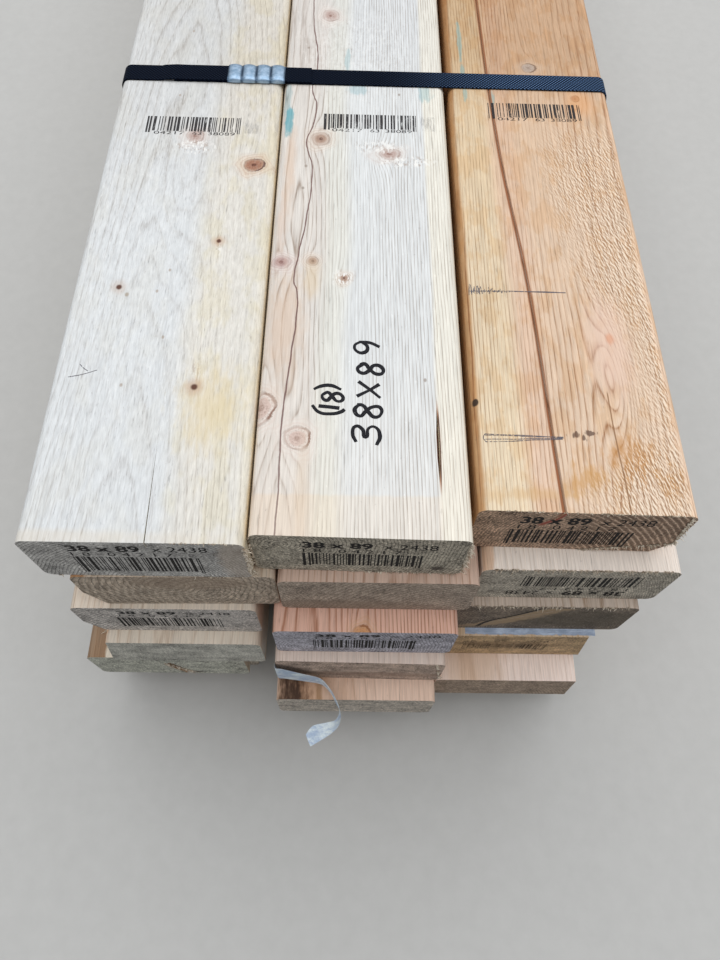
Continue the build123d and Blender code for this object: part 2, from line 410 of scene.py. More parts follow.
    def colour_knots(self):
        """Each knot's halo, core and rim, with its own small rings and a darker heart."""
        lumps = self.noise((7.5, 8.5, 7.5), 1.0, 0.6, self.seed + 8) - 0.5
        crumbs = self.noise((0.8, 1.0, 0.8), 2.0, 0.7, self.seed + 9) - 0.5
        stretch = 1 + lumps * 0.8
        edge = crumbs * 0.3 + self.on_end * 9
        for knot in self.knots:
            tone = knot_tones[knot["tone"]]
            radius = knot["square"].root() * stretch + edge
            soft = tone.get("soft", 0.0)
            core = radius.rise(1.12 + 0.2 * soft, 0.74 - 0.45 * soft)
            ring = radius.rise(0.60, 0.74) * radius.rise(0.96, 0.82)
            rim = radius.rise(0.80, 1.0) * radius.rise(1.24, 1.06)
            crescent = (knot["dx"] / knot["size"] + lumps * 6).rise(-0.2, 1.0)
            years = abs((radius * 3.3).fraction() - 0.5).rise(0.42, 0.0)
            heart = radius.rise(0.42, 0.05)
            swirl = abs((radius * 2.6).fraction() - 0.5).rise(0.32, 0.05) * radius.rise(2.6, 1.1)
            dark = core * (years * 0.2 + heart * tone.get("heart", 0.45) + crumbs * 1.8)
            rim = rim * (0.3 + crescent * 0.65) * (1 - 0.75 * soft)
            self.paint(radius.rise(2.5, 0.9) * 0.6, tone["halo"])
            self.paint(swirl * 0.30, tone["core"])
            self.paint(core * 0.9, tone["core"])
            self.paint(ring * tone.get("ring", 0.1), tone["halo"])
            self.paint(dark.largest(rim), tone["rim"])

    def colour_ends(self):
        """End grain: the rings cut across, pores, and the marks of the saw."""
        rough = self.rough_end
        pores = self.noise((0.9, 60, 0.9), 3.0, 0.8, self.seed + 21)
        saw_marks = self.noise((1.4, 60, 5), 1.0, 0.5, self.seed + 22)
        grime = self.noise((11, 60, 7), 2.0, 0.6, self.seed + 23)
        specks = pores.rise(0.40, 0.30)
        fluff = pores.rise(0.58, 0.70)
        tone = 1.0 + (pores - 0.5) * (1.9 * rough) + (saw_marks - 0.5) * (0.5 * rough)
        tone = tone + (grime - 0.5) * 1.6
        rows = 1.2 - self.late * min(0.5 * rough, 0.9)
        cut = self.brighten(self.sawn, tone + fluff * (0.6 * rough))
        cut = self.brighten(cut, rows * (1 - specks * min(0.6 * rough, 0.9)))
        for mark in self.end_marks:
            cut = mark(cut)
        self.paint(self.on_end, cut)
        self.relief = self.relief + (pores * 1.6 - self.relief) * self.on_end

    def dress(self):
        """Join the colour, gloss and relief to the shader and give the stud this material."""
        self.colour_ends()
        relief = self.bump(self.relief, 0.22, 0.8)
        material = self.surface(self.colour, self.gloss, Specular_IOR_Level=0.25, Normal=relief)
        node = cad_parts[self.stud]
        for slot in node.material_slots:
            slot.material = material


# %% [markdown]
# Weather, resin, the planer and the saw leave their own marks on this wood. Each kind of mark is a
# mask, placed in millimetres like the knots, and a colour that it paints or tints. Marks on the
# sawn end wait until the end grain is there to carry them.


# %% Marks of growth, tools and weather
class WornPine(Pine):
    """Pine with stains, bands, checks, torn fibres and marks on its near end."""

    def path_line(self, run, path):
        """How far from the left side a path lies, from its points of (run, distance)."""
        length, span = path[-1][0], 100.0
        points = [(start / length, across / span) for start, across in path]
        return self.node("FloatCurve", {"points": points}, {"Value": run / length}) * span

    def mark_end(self, mask, colour):
        """Paint the end grain, once it is made."""
        self.end_marks.append(lambda cut: self.mix(mask, cut, colour))

    def end_streak(self, path, width, colour, amount=1.0):
        """A line on the near end that follows points of (depth, distance from the left side)."""
        first, last = path[0][0], path[-1][0]
        depth = self.z * -1
        away = abs(self.x - self.path_line(depth, path)) + self.worn * (width * 1.2)
        mask = away.rise(width, width * 0.4) * depth.rise(last * 1.04, last * 0.9)
        self.mark_end(mask * depth.rise(first - 1, first) * amount, colour)

    def end_spot(self, centre, size, colour, amount=1.0):
        """A ragged spot on the near end, placed by distance from the left side and depth."""
        radius = distance((self.x - centre[0]) / size[0], (self.z + centre[1]) / size[1])
        self.mark_end((radius + self.worn * 0.9).rise(1.3, 0.7) * amount, colour)

    def weathered_rings(self, centre, pitch, left, dark, light, amount=1.0):
        """Worn rings on the near end, right of a distance from the left side: dark soft wood
        between lines of hard late wood that stand out pale."""
        radius = distance(self.x - centre[0], self.z - centre[1]) + self.worn * 1.4
        ridge = abs((radius / pitch).fraction() - 0.5)
        shown = self.x.rise(left - 14, left + 14)
        self.mark_end(ridge.rise(0.38, 0.10) * shown * (0.7 * amount), dark)
        hard = ridge.rise(0.34, 0.47) * self.flecks.rise(0.34, 0.54) * shown
        self.mark_end(hard * (0.9 * amount), light)

    def hollow(self, left, right, depth, back, colour):
        """Colour of a break at the lower edge of the near end, on the wood inside it."""
        mask = self.x.between(left, right, 0.5) * self.z.rise(-depth, -depth - 1)
        mask = mask * self.y.rise(back, back - 1) * self.y.rise(0.2, 0.6)
        self.paint(mask, self.brighten(colour, 0.5 + self.flecks))

    def oval(self, centre, size, soft=0.5, ragged=0.0):
        """Mask of an oval on the top face, ragged at its rim."""
        radius = distance((self.x - centre[0]) / size[0], (self.y - centre[1]) / size[1])
        return (radius + self.worn * ragged).rise(1 + soft, 1 - soft) * self.on_top

    def stain(self, centre, size, colour, amount, soft=0.5, ragged=0.6):
        """Colour that has soaked into the top face."""
        self.paint(self.oval(centre, size, soft, ragged) * amount, colour)

    def stains(self, *rows):
        """Several stains, one upon the other."""
        for row in rows:
            self.stain(*row)

    def specks(self, places, size, colour, amount):
        """Small stains of one kind."""
        for place in places:
            self.stain(place, size, colour, amount, 0.4, 0.3)

    def band(self, left, right, soft, colour):
        """A strip along the stud whose colour is multiplied by a tint."""
        place = self.x + self.wander * (2.5 * soft)
        self.tint(place.between(left, right, soft) * self.off_end, colour)

    def wane(self, width, reach, colour):
        """Where bark once was, the slanted left arris is brown, up to a distance along the stud."""
        mask = (self.x + self.worn * 3).rise(width + 0.8, width - 0.8) * (1 - self.on_side)
        mask = mask * (self.y + self.wander * 120).rise(reach + 60, reach - 60) * self.off_end
        self.tint(mask, self.brighten(colour, 0.72 + self.streaks * 0.55))

    def fade(self, start, end, colour):
        """Tint the stud beyond a distance from the near end."""
        self.tint(self.y.rise(start, end), colour)

    def warm_all_but_near_lit_top(self, colour):
        """Tint every face but the top one, and the top one far from the near end, so that the near top stays
        paler, as painted light.
        """
        off_lit_top = (1 - self.on_top).largest(self.y.rise(420.0, 900.0))
        self.tint(off_lit_top * self.off_end, colour)

    def patch(self, side, end, colour, soft=3.0):
        """The top face is tinted up to a distance from the left side and from the near end."""
        wander = self.worn * (2 * soft)
        mask = (self.x + wander).rise(side + soft, side - soft)
        self.tint(mask * (self.y + wander).rise(end + soft, end - soft) * self.on_top, colour)

    def mottle(self, left, right, size, colour, amount):
        """Irregular darker patches in a strip of the stud."""
        patches = self.noise((size, size * 2.2, size), 3.0, 0.62, self.seed + 71)
        strip = self.x.between(left, right, 5) * self.off_end
        self.tint(strip * patches.rise(0.46, 0.60) * amount, colour)

    def chips(self, centre, size, amount=1.0):
        """Fibres torn out round a spot: small pale and dark flecks side by side."""
        mask = self.oval(centre, size, 0.5, 1.2) * amount
        self.paint(mask * self.flecks.rise(0.52, 0.62), (0.88, 0.87, 0.84))
        self.paint(mask * self.flecks.rise(0.44, 0.34) * 0.6, (0.40, 0.30, 0.24))

    def split_line(self, path, width, colour, amount=1.0, wobble=0.0, even=0.45):
        """A fine check that follows points of (distance from the near end, distance from the side)."""
        length = path[-1][0]
        away = abs(self.x - self.path_line(self.y, path) + self.worn * wobble)
        thin = self.wander.rise(-0.3, 0.0) * (1 - even)
        mask = away.rise(width, width * 0.45) * self.on_top * (even + thin)
        self.paint(mask * self.y.rise(length, length * 0.96) * amount, colour)

    def torn_grain(self, mask, lean, depth, light, dark):
        """Fibres that the planer lifted and tore: long folds that lean across the grain, raised in the
        relief. Their colour is painted highlight on one side of each fold and painted shade on the other."""
        turn = (0, 0, math.radians(lean))
        shifts = ((0, 0, 0), (0.42, 0.2, 0))
        turned = [
            self.node("Mapping", {}, {"Vector": self.place, "Rotation": turn, "Location": shift})
            for shift in shifts
        ]
        size = (0.95, 3.6, 0.95)
        folds, beside = [self.noise(size, 1.5, 0.6, self.seed + 51, place) for place in turned]
        emboss_shading = folds - beside
        # painted highlight on one side of each fold, painted shade on the other
        self.paint(mask * emboss_shading.rise(0.01, 0.12) * 0.8, light)
        self.paint(mask * emboss_shading.rise(-0.02, -0.14) * 0.75, dark)
        self.relief = self.relief + mask * (folds - 0.5) * depth


# %% [markdown]
# ### The top left stud
# Cream white and faintly grained, with a red-brown knot near its right side, a pink one beside the
# printed bars and a few pin knots. Resin has yellowed a patch towards the near end.

# %% Top left stud
left_top = WornPine(
    "stud_left_1", pith=(38.0, -46.0), ring=1.5, early=(0.70, 0.722, 0.736), late=(0.46, 0.445, 0.43),
    sawn=(0.42, 0.41, 0.395), contrast=0.42, seed=1.3, taper=0.03, fibre=1.5, thread=6.0, rough_end=1.7,
    swells=((44.0, 195.0, 10.0, 46.0, 6.0), (30.0, 560.0, 14.0, 120.0, 8.0)),
    knots=(
        (45.1, 230.7, 4.6, 5.0, "pink", 0.8), (77.7, 209.9, 5.4, 4.4, "red", 0.8),
    ),
)
left_top.fade(130.0, 330.0, (0.90, 0.88, 0.86))
# the near top is left paler than the other faces, as painted light
left_top.warm_all_but_near_lit_top((1.04, 0.96, 0.83))
left_top.band(58.0, 96.0, 10.0, (1.055, 0.99, 0.90))
# painted highlight along the right arris and side
left_top.band(85.0, 96.0, 2.0, (1.06, 1.03, 0.96))
left_top.mottle(56.0, 96.0, 12.0, (0.97, 0.94, 0.84), 0.8)
left_top.mottle(-6.0, 60.0, 16.0, (0.97, 0.95, 0.91), 0.6)
left_top.colour_knots()
left_top.chips((46.0, 222.5), (9.0, 5.0))
left_top.chips((44.0, 150.0), (46.0, 120.0), 0.13)
left_top.chips((62.0, 80.0), (2.0, 5.0), 0.7)
left_top.chips((64.9, 153.0), (1.4, 5.0), 0.8)
left_top.stain((70.0, 62.0), (11.0, 17.0), (0.74, 0.60, 0.34), 0.55, 0.8, 2.4)
for x, y, size, halo in ((62.0, 72.3, 1.4, 0.5), (64.7, 156.8, 1.1, 0.6), (21.4, 126.8, 1.3, 0.3)):
    left_top.stain((x, y), (2.4 * size, 2.8 * size), (0.48, 0.27, 0.15), halo, 0.7, 1.2)
    left_top.stain((x, y), (size, 1.1 * size), (0.10, 0.035, 0.02), 0.95, 0.4, 0.5)
left_top.stain((25.6, 122.5), (0.9, 1.2), (0.34, 0.26, 0.18), 0.7)
pin_knots = ((34.7, 320.5), (33.4, 263.3), (45.3, 98.6), (30.7, 72.6), (39.2, 124.9), (43.5, 137.8))
left_top.specks(pin_knots, (0.6, 0.9), (0.36, 0.27, 0.2), 0.6)
left_top.stain((8.0, 2.0), (60.0, 3.0), (0.74, 0.64, 0.5), 0.35, 0.6)
left_top.end_spot((84.0, 18.0), (7.0, 22.0), (0.44, 0.35, 0.27), 0.5)
left_top.dress()

# %% [markdown]
# ### The top middle stud
# Its left third held the tree's crooked heart: pinkish, full of knots, with a fine check that winds
# between them. The rest is nearly white with tight straight grain, and the last bit by the near
# end is creamier, where a label once lay.

# %% Top middle stud
middle_top = WornPine(
    "stud_middle_1", pith=(11.0, -9.0), ring=1.5, early=(0.735, 0.755, 0.76), late=(0.41, 0.365, 0.33),
    sawn=(0.36, 0.325, 0.265), contrast=0.66, seed=4.6, sway=3.0, curl=(24.0, 1.4), fibre=1.4, rough_end=1.8,
    knots=(
        (21.7, 228.1, 4.6, 4.8, "tan"), (57.6, 217.8, 5.6, 3.8, "pink"),
        (5.4, 141.4, 4.4, 4.0, "plum"), (20.5, 142.5, 2.7, 3.0, "tan", 1.1),
        (35.5, 132.3, 2.4, 2.8, "tan", 1.1), (17.4, 44.9, 5.2, 5.2, "pale"),
        (24.0, 336.0, 4.4, 5.5, "pink"), (1.5, 60.0, 5.5, 7.0, "pale"),
    ),
)
# the near top is left paler than the other faces, as painted light
middle_top.warm_all_but_near_lit_top((1.02, 0.94, 0.82))
middle_top.band(-6.0, 24.0, 5.0, (0.985, 0.905, 0.84))
middle_top.band(24.0, 36.0, 4.0, (1.0, 0.97, 0.90))
middle_top.fade(100.0, 20.0, (1.04, 1.02, 1.0))
middle_top.fade(255.0, 330.0, (0.94, 0.94, 0.95))
middle_top.band(76.5, 96.0, 1.2, (1.12, 1.06, 0.95))
middle_top.patch(76.5, 19.0, (1.03, 0.968, 0.90), 1.0)
middle_top.colour_knots()
middle_top.stains(
    # brown streaks along the heart
    ((9.0, 104.0), (8.0, 30.0), (0.66, 0.46, 0.32), 0.5, 0.7, 1.8),
    ((6.5, 205.0), (2.6, 30.0), (0.68, 0.48, 0.34), 0.5, 0.7, 1.6),
    ((4.0, 165.0), (2.0, 16.0), (0.68, 0.48, 0.36), 0.4, 0.7, 1.6),
    # a narrow pitch pocket with its black filling
    ((76.6, 42.0), (0.75, 19.0), (0.46, 0.18, 0.07), 0.85, 0.3, 0.2),
    ((76.9, 42.0), (0.4, 17.0), resin_black, 0.95, 0.3, 0.2),
    # yellowed wood by the near end and between two small knots
    ((20.5, 20.0), (2.6, 24.0), (0.74, 0.58, 0.42), 0.35, 0.7, 1.2),
    ((20.5, 132.0), (3.6, 10.0), (0.68, 0.54, 0.36), 0.55, 0.7, 1.2),
)
middle_top.chips((68.0, 212.0), (14.0, 4.0))
middle_top.chips((52.0, 223.0), (13.0, 4.5), 0.8)
middle_top.chips((35.0, 132.0), (4.4, 5.0))
middle_top.chips((40.0, 300.0), (30.0, 40.0), 0.25)
for x, y, across, along, amount in (
    (4.2, 243.0, 2.2, 12.0, 0.75), (2.5, 256.0, 2.4, 14.0, 0.3),
    (41.0, 269.0, 5.0, 4.0, 0.3), (78.0, 268.0, 4.0, 8.0, 0.35), (35.0, 294.0, 1.5, 9.0, 0.3),
):
    middle_top.stain((x, y), (across, along), paint_on_pale, amount, 0.3, 2.2)
pin_knots = ((12.3, 305.0), (63.7, 265.5), (14.6, 207.3), (13.7, 191.3), (71.9, 75.3))
middle_top.specks(pin_knots, (0.7, 1.0), (0.3, 0.24, 0.2), 0.7)
heart_check = (
    (0, 10.6), (30, 11.0), (48, 10.6), (84, 12.6), (106, 14.2), (124, 13.8), (130, 12.1), (145, 13.3),
    (172, 16.5), (207, 17.7), (219, 15.2), (226, 14.3), (238, 17.1), (255, 18.4), (267, 16.0),
    (293, 17.9), (331, 14.3), (420, 15.0),
)
middle_top.split_line(heart_check, 0.48, (0.17, 0.09, 0.08), 0.92, 1.2)
middle_top.end_spot((78.0, 31.5), (3.0, 2.2), (0.05, 0.04, 0.035), 0.85)
middle_top.end_streak(((19, 86.0), (21, 84.5), (24, 81.0), (25.5, 79.0)), 0.5, (0.08, 0.06, 0.045), 0.8)
middle_top.dress()

# %% [markdown]
# ### The top right stud
# Orange tan heartwood with a paler yellow strip at the left, a long seasoning check, and a right
# third where the planer tore the fibres.

# %% Top right stud
right_top = WornPine(
    "stud_right_1", pith=(92.0, -46.0), ring=1.45, early=(0.715, 0.54, 0.40), late=(0.39, 0.21, 0.115),
    sawn=(0.36, 0.25, 0.18), contrast=0.66, seed=7.9, sway=4.0, taper=0.01, fibre=1.6, rough_end=2.2,
    knots=(
        (46.5, 280.1, 4.0, 4.0, "grey", 1.8), (70.2, 254.0, 2.4, 2.8, "red", 1.6),
    ),
    swells=((64.0, 66.0, 9.0, 40.0, 12.0), (60, 640, 16, 140, 14)),
)
right_top.band(-6.0, 22.0, 4.0, (1.03, 1.12, 1.08))
right_top.band(20.0, 33.0, 4.0, (1.0, 0.97, 0.98))
right_top.band(-6.0, 2.6, 1.0, (0.72, 0.52, 0.36))
# painted highlight along the right arris and side
right_top.band(85.0, 96.0, 1.5, (1.16, 1.14, 1.14))
right_top.fade(225.0, 300.0, (0.81, 0.73, 0.65))
right_top.fade(140.0, 200.0, (0.97, 0.94, 0.90))
right_top.fade(90.0, 20.0, (1.06, 1.08, 1.10))
right_top.mottle(-6.0, 96.0, 9.0, (0.94, 0.86, 0.76), 0.9)
right_top.colour_knots()
right_top.stains(
    # resin along the near edge
    ((65.0, 25.0), (9.0, 9.0), (0.52, 0.24, 0.06), 0.7, 0.8, 5.5),
    ((80.0, 15.0), (5.0, 6.0), (0.50, 0.25, 0.08), 0.7, 0.8, 5.5),
    ((46.0, 15.0), (9.0, 5.0), (0.58, 0.31, 0.10), 0.65, 0.8, 5.5),
    ((24.0, 9.0), (14.0, 2.5), (0.62, 0.38, 0.16), 0.45, 0.7, 2.6),
    # a black dot on the arris and three dark flecks
    ((1.6, 52.8), (1.3, 1.8), (0.03, 0.02, 0.015), 0.95, 0.25, 0.3),
    ((43.0, 37.0), (2.4, 1.6), (0.10, 0.05, 0.035), 0.8, 0.3, 5.0),
    ((46.0, 35.6), (1.4, 1.4), (0.10, 0.05, 0.035), 0.8, 0.3, 5.0),
    ((50.0, 38.0), (2.2, 1.2), (0.10, 0.05, 0.035), 0.8, 0.3, 5.0),
    # orange wood round the small knot, and the pale swell with its red heart
    ((72.0, 250.0), (7.0, 10.0), (0.72, 0.36, 0.15), 0.6, 0.7, 0.6),
    ((64.0, 84.0), (9.0, 26.0), (0.80, 0.58, 0.48), 0.55, 0.6, 1.0),
    ((65.0, 88.0), (1.8, 3.0), (0.70, 0.30, 0.16), 0.6, 0.6, 1.0),
)
right_top.weathered_rings((-5.0, -75.0), 2.5, 46.0, (0.17, 0.105, 0.07), (0.80, 0.60, 0.45))
right_top.end_streak(((0, 34.5), (5, 33.2), (10, 29.5), (13.5, 27.0)), 1.9, (0.34, 0.085, 0.06), 0.95)
for x, y, along in ((8.0, 303.0, 16.0), (8.5, 276.0, 5.0), (8.8, 256.0, 6.0), (24.0, 252.0, 5.0)):
    right_top.stain((x, y), (1.2, along), paint_on_tan, 0.45, 0.3, 2.2)
smooth_oval = right_top.y.rise(128.0, 84.0) * right_top.y.rise(8.0, 40.0) * 24
torn = right_top.x + right_top.wander * 40 - smooth_oval
torn = torn.rise(38.0, 66.0) * right_top.x.rise(88.0, 84.0) * right_top.y.rise(240.0, 205.0)
# the torn right third: real relief, with painted highlight and shade on its folds
right_top.torn_grain(torn * right_top.on_top, -15.0, 5.0, (0.96, 0.82, 0.66), (0.34, 0.18, 0.09))
season_check = (
    (0, 34.0), (35, 33.0), (115, 30.8), (210, 24.2), (343, 20.8), (520, 19.3), (680, 18.4),
)
right_top.split_line(season_check, 1.35, (0.30, 0.115, 0.05), 1.0, 0.25, 1.0)
right_top.split_line(((0, 60.8), (16, 60.6), (34, 59.8), (60, 59.5)), 0.4, (0.3, 0.16, 0.08), 0.9, 0.5)
right_top.dress()

# %% [markdown]
# ### The studs below
# Only their sawn ends and a sliver of each top show in front of the row above. Each comes from
# another tree, so it has its own pith, ring width, tones of early wood, late wood and sawn end,
# and contrast.

# %% Lower studs
lower_studs = {
    "left_2": ((40.0, -10.0), 2.604, (0.66, 0.55, 0.44), (0.50, 0.36, 0.25), (0.41, 0.34, 0.27), 0.85),
    "left_3": ((60.0, -70.0), 1.86, (0.74, 0.65, 0.55), (0.58, 0.45, 0.34), (0.44, 0.41, 0.385), 0.55),
    "left_4": ((40.0, 55.0), 1.612, (0.78, 0.69, 0.58), (0.62, 0.48, 0.36), (0.435, 0.425, 0.38), 0.55),
    "left_5": ((20.0, -75.0), 1.736, (0.68, 0.62, 0.52), (0.52, 0.44, 0.34), (0.43, 0.43, 0.37), 0.7),
    "left_6": ((70.0, -60.0), 1.922, (0.76, 0.68, 0.56), (0.60, 0.47, 0.35), (0.44, 0.38, 0.31), 0.7),
    "middle_2": ((55.0, -60.0), 1.364, (0.64, 0.47, 0.38), (0.46, 0.29, 0.21), (0.36, 0.295, 0.24), 0.85),
    "middle_3": ((20.0, -30.0), 1.612, (0.78, 0.49, 0.385), (0.46, 0.22, 0.14), (0.36, 0.35, 0.395), 1.0),
    "middle_4": ((80.0, 30.0), 1.798, (0.76, 0.63, 0.55), (0.58, 0.42, 0.33), (0.43, 0.33, 0.27), 0.6),
    "middle_5": ((26.0, -80.0), 1.55, (0.82, 0.61, 0.49), (0.58, 0.38, 0.27), (0.46, 0.41, 0.355), 0.8),
    "middle_6": ((50.0, 60.0), 1.86, (0.74, 0.66, 0.54), (0.58, 0.46, 0.34), (0.43, 0.37, 0.30), 0.7),
    "right_2": ((-30.0, -60.0), 1.178, (0.92, 0.83, 0.75), (0.62, 0.49, 0.38), (0.37, 0.335, 0.28), 0.38),
    "right_3": ((66.0, -34.0), 1.426, (0.62, 0.52, 0.44), (0.40, 0.29, 0.21), (0.17, 0.135, 0.105), 0.8),
    "right_4": ((35.0, -90.0), 1.488, (0.70, 0.54, 0.38), (0.55, 0.36, 0.21), (0.42, 0.29, 0.165), 0.85),
    "right_5": ((15.0, -55.0), 1.736, (0.92, 0.78, 0.71), (0.64, 0.46, 0.36), (0.325, 0.245, 0.185), 0.45),
    "right_6": ((40.0, 70.0), 1.86, (0.76, 0.67, 0.55), (0.60, 0.47, 0.35), (0.42, 0.36, 0.29), 0.7),
}
first_seed, seed_step = 10.0, 2.7
amber_knot = (43.1, -1.5, 4.2, 5.2, "amber")
pines = {}
for number, (place, (pith, ring, early, late, sawn, contrast)) in enumerate(lower_studs.items()):
    pine = WornPine(
        "stud_" + place, pith, ring, early, late, sawn, contrast, seed=first_seed + seed_step * number,
        knots=[amber_knot] if place == "middle_3" else [], far_knots=70.0, fibre=1.5, rough_end=1.5,
    )
    pine.colour_knots()
    pines[place] = pine

# %% [markdown]
# Some of these near ends are stained, streaked or broken, and a few left arrises are slanted and
# brown, where bark once was.

# %% Marks on the lower studs
left_2, left_4, left_5 = (pines["left_" + row] for row in "245")
middle_2, middle_4, middle_5 = (pines["middle_" + row] for row in "245")
right_2, right_3, right_4, right_5 = (pines["right_" + row] for row in "2345")
middle_5.stains(
    ((16.0, 5.0), (22.0, 30.0), (0.60, 0.36, 0.22), 0.7, 0.9, 1.5),
    ((11.0, 5.0), (9.0, 26.0), (0.36, 0.18, 0.085), 0.7, 0.9, 2.5),
    ((8.0, 5.0), (7.0, 20.0), (0.05, 0.025, 0.016), 0.95, 0.8, 3.4),
    ((24.0, 6.0), (1.6, 30.0), (0.36, 0.20, 0.10), 0.7, 0.5, 1.2),
)
right_5.stain((20.0, 12.0), (16.0, 30.0), (0.66, 0.44, 0.27), 0.5, 0.5, 0.8)
right_3.end_spot((66.0, 20.0), (34.0, 13.0), (0.085, 0.07, 0.05), 0.6)
right_3.end_streak(((3, 50.0), (12, 40.0), (22, 30.0), (36, 8.0)), 10.0, (0.36, 0.26, 0.165))
right_3.end_streak(((4, 40.0), (14, 31.0), (24, 20.0), (36, 14.0)), 1.6, (0.012, 0.010, 0.008))
left_2.end_streak(((7, 37.0), (9, 39.0), (12, 42.0), (14, 44.5)), 0.5, (0.05, 0.03, 0.02))
left_2.weathered_rings((60.0, -26.0), 3.4, -20.0, (0.20, 0.15, 0.11), (0.62, 0.52, 0.42), 0.5)
middle_2.weathered_rings((112.0, -74.0), 2.6, 10.0, (0.18, 0.13, 0.10), (0.55, 0.46, 0.38), 0.45)
left_2.end_spot((50.0, 8.0), (26.0, 9.0), (0.30, 0.22, 0.16), 0.5)
left_5.end_spot((54.0, 34.0), (6.0, 3.0), (0.05, 0.03, 0.02), 0.8)
left_5.hollow(38.0, 60.0, 8.0, 14.0, (0.40, 0.20, 0.085))
left_4.wane(9.3, 420.0, (0.80, 0.54, 0.36))
left_2.wane(7.0, 520.0, (0.78, 0.52, 0.34))
left_5.wane(11.5, 40.0, (0.36, 0.22, 0.13))
right_2.wane(5.0, 300.0, (0.84, 0.68, 0.56))
middle_2.end_spot((20.0, 33.0), (46.0, 8.0), (0.22, 0.17, 0.13), 0.5)
right_4.end_spot((36.0, 17.0), (26.0, 6.0), (0.17, 0.10, 0.05), 0.55)
middle_4.end_spot((52.0, 26.0), (48.0, 5.0), (0.24, 0.15, 0.11), 0.5)
for pine in pines.values():
    pine.dress()
print("studs finished:", 3 + len(pines))

# %% [markdown]
# ## Ink, marker and pencil
# The mill prints bars and a size on each sawn end and on the faces near the strap. A printed mark
# could be part of the wood's material, but a mark this small would come out blurred if a long
# stud's colour were baked. So each mark is thin geometry that lies on the wood, and its ink material
# breaks up along the fibres. All marks are made flat, in millimetres, and then laid on a face.

# %% Faces that carry marks
ink_proud = 0.05
end_middle = (44.5, -19.05, 0.0)


def near_edge(stud):
    """How far back the near end is at the stud's left and right side, as it may be cut askew."""
    low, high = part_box(stud)
    depth, side = 5 * mm, 14 * mm
    points = [v.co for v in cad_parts[stud].data.vertices if v.co.y < low.y + depth]
    left = min(p.y for p in points if p.x < low.x + side)
    right = min(p.y for p in points if p.x > high.x - side)
    return left, right


def face_frame(stud, face):
    """Turns flat millimetres (right, up, out of the face) from a top left corner into the frame."""
    low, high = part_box(stud)
    if face == "top":
        return Matrix.Translation((low.x, low.y, high.z)) @ Matrix.Scale(mm, 4)
    left, right = near_edge(stud)
    turn = Matrix.Rotation(math.atan2(right - left, high.x - low.x), 4, "Z")
    upright = Matrix.Rotation(math.radians(90), 4, "X")
    return Matrix.Translation((low.x, left, high.z)) @ turn @ upright @ Matrix.Scale(mm, 4)


# %% Ink finishes
def ink(name, colour, strength, broken, size=(0.8, 5.0, 0.8)):
    """Ink that the wood has taken up unevenly."""
    finish = Finish(name)
    worn = finish.noise(size, 3.0, 0.65)
    patch = finish.noise((11, 11, 11), 2.0, 0.5, 5.0)
    cover = (worn + (patch - 0.5) * 0.5).rise(broken - 0.12, broken + 0.12)
    shade = finish.mix(worn, colour, tuple(c * 1.9 for c in colour))
    return finish.surface(shade, 0.6 + worn * 0.2, Alpha=cover * strength, Specular_IOR_Level=0.2)


print_ink = ink("print_ink", (0.022, 0.020, 0.022), 0.88, 0.36)
end_ink = ink("end_ink", (0.008, 0.007, 0.007), 0.97, 0.28, (0.7, 4.0, 0.7))
faint_ink = ink("faint_ink", (0.03, 0.022, 0.015), 0.8, 0.46)
pale_ink = ink("pale_ink", (0.18, 0.18, 0.19), 0.22, 0.5)
marker_ink = ink("marker_ink", (0.009, 0.009, 0.012), 0.97, 0.27)
graphite = ink("graphite", (0.13, 0.12, 0.14), 0.72, 0.47, (0.7, 1.4, 0.7))
inks = (print_ink, end_ink, faint_ink, pale_ink, marker_ink, graphite)
print("inks:", [material.name for material in inks])

# %% [markdown]
# Every piece modelled from here on needs some of the same steps: a grid to bend, a curve made a
# mesh, meshes joined, faces turned outward, a wall or a material. Each is one small function.


# %% Mesh helpers
def only(piece):
    """Make one object the only selected and active one."""
    bpy.ops.object.select_all(action="DESELECT")
    piece.select_set(True)
    bpy.context.view_layer.objects.active = piece


def grid(columns, rows, name="Grid"):
    """A flat grid from -1 to 1, whose vertices are then moved to their places."""
    bpy.ops.mesh.primitive_grid_add(x_subdivisions=columns, y_subdivisions=rows, size=2)
    bpy.context.object.name = name
    return bpy.context.object


def as_mesh(name, curve):
    """A new mesh object from a curve."""
    piece = bpy.data.objects.new(name, curve)
    scene.collection.objects.link(piece)
    only(piece)
    bpy.ops.object.convert(target="MESH")
    return bpy.context.object


def join(pieces, name):
    """Several meshes as one piece."""
    only(pieces[0])
    for piece in pieces:
        piece.select_set(True)
    if len(pieces) > 1:
        bpy.ops.object.join()
    pieces[0].name = name
    pieces[0].data.name = name
    return pieces[0]


def mend(piece, gap=0.0):
    """Merge points less than a gap apart and turn all faces the same way out."""
    only(piece)
    bpy.ops.object.mode_set(mode="EDIT")
    bpy.ops.mesh.select_all(action="SELECT")
    if gap:
        bpy.ops.mesh.remove_doubles(threshold=gap)
    bpy.ops.mesh.normals_make_consistent(inside=False)
    bpy.ops.object.mode_set(mode="OBJECT")


def thicken(piece, wall, offset=0):
    """Give a sheet a wall: inside it for an offset of -1, or half on each side of it for 0."""
    only(piece)
    modifier = piece.modifiers.new("wall", "SOLIDIFY")
    modifier.thickness = wall
    modifier.offset = offset
    bpy.ops.object.modifier_apply(modifier=modifier.name)


def coat(piece, material):
    """Give a piece one material."""
    piece.data.materials.clear()
    piece.data.materials.append(material)


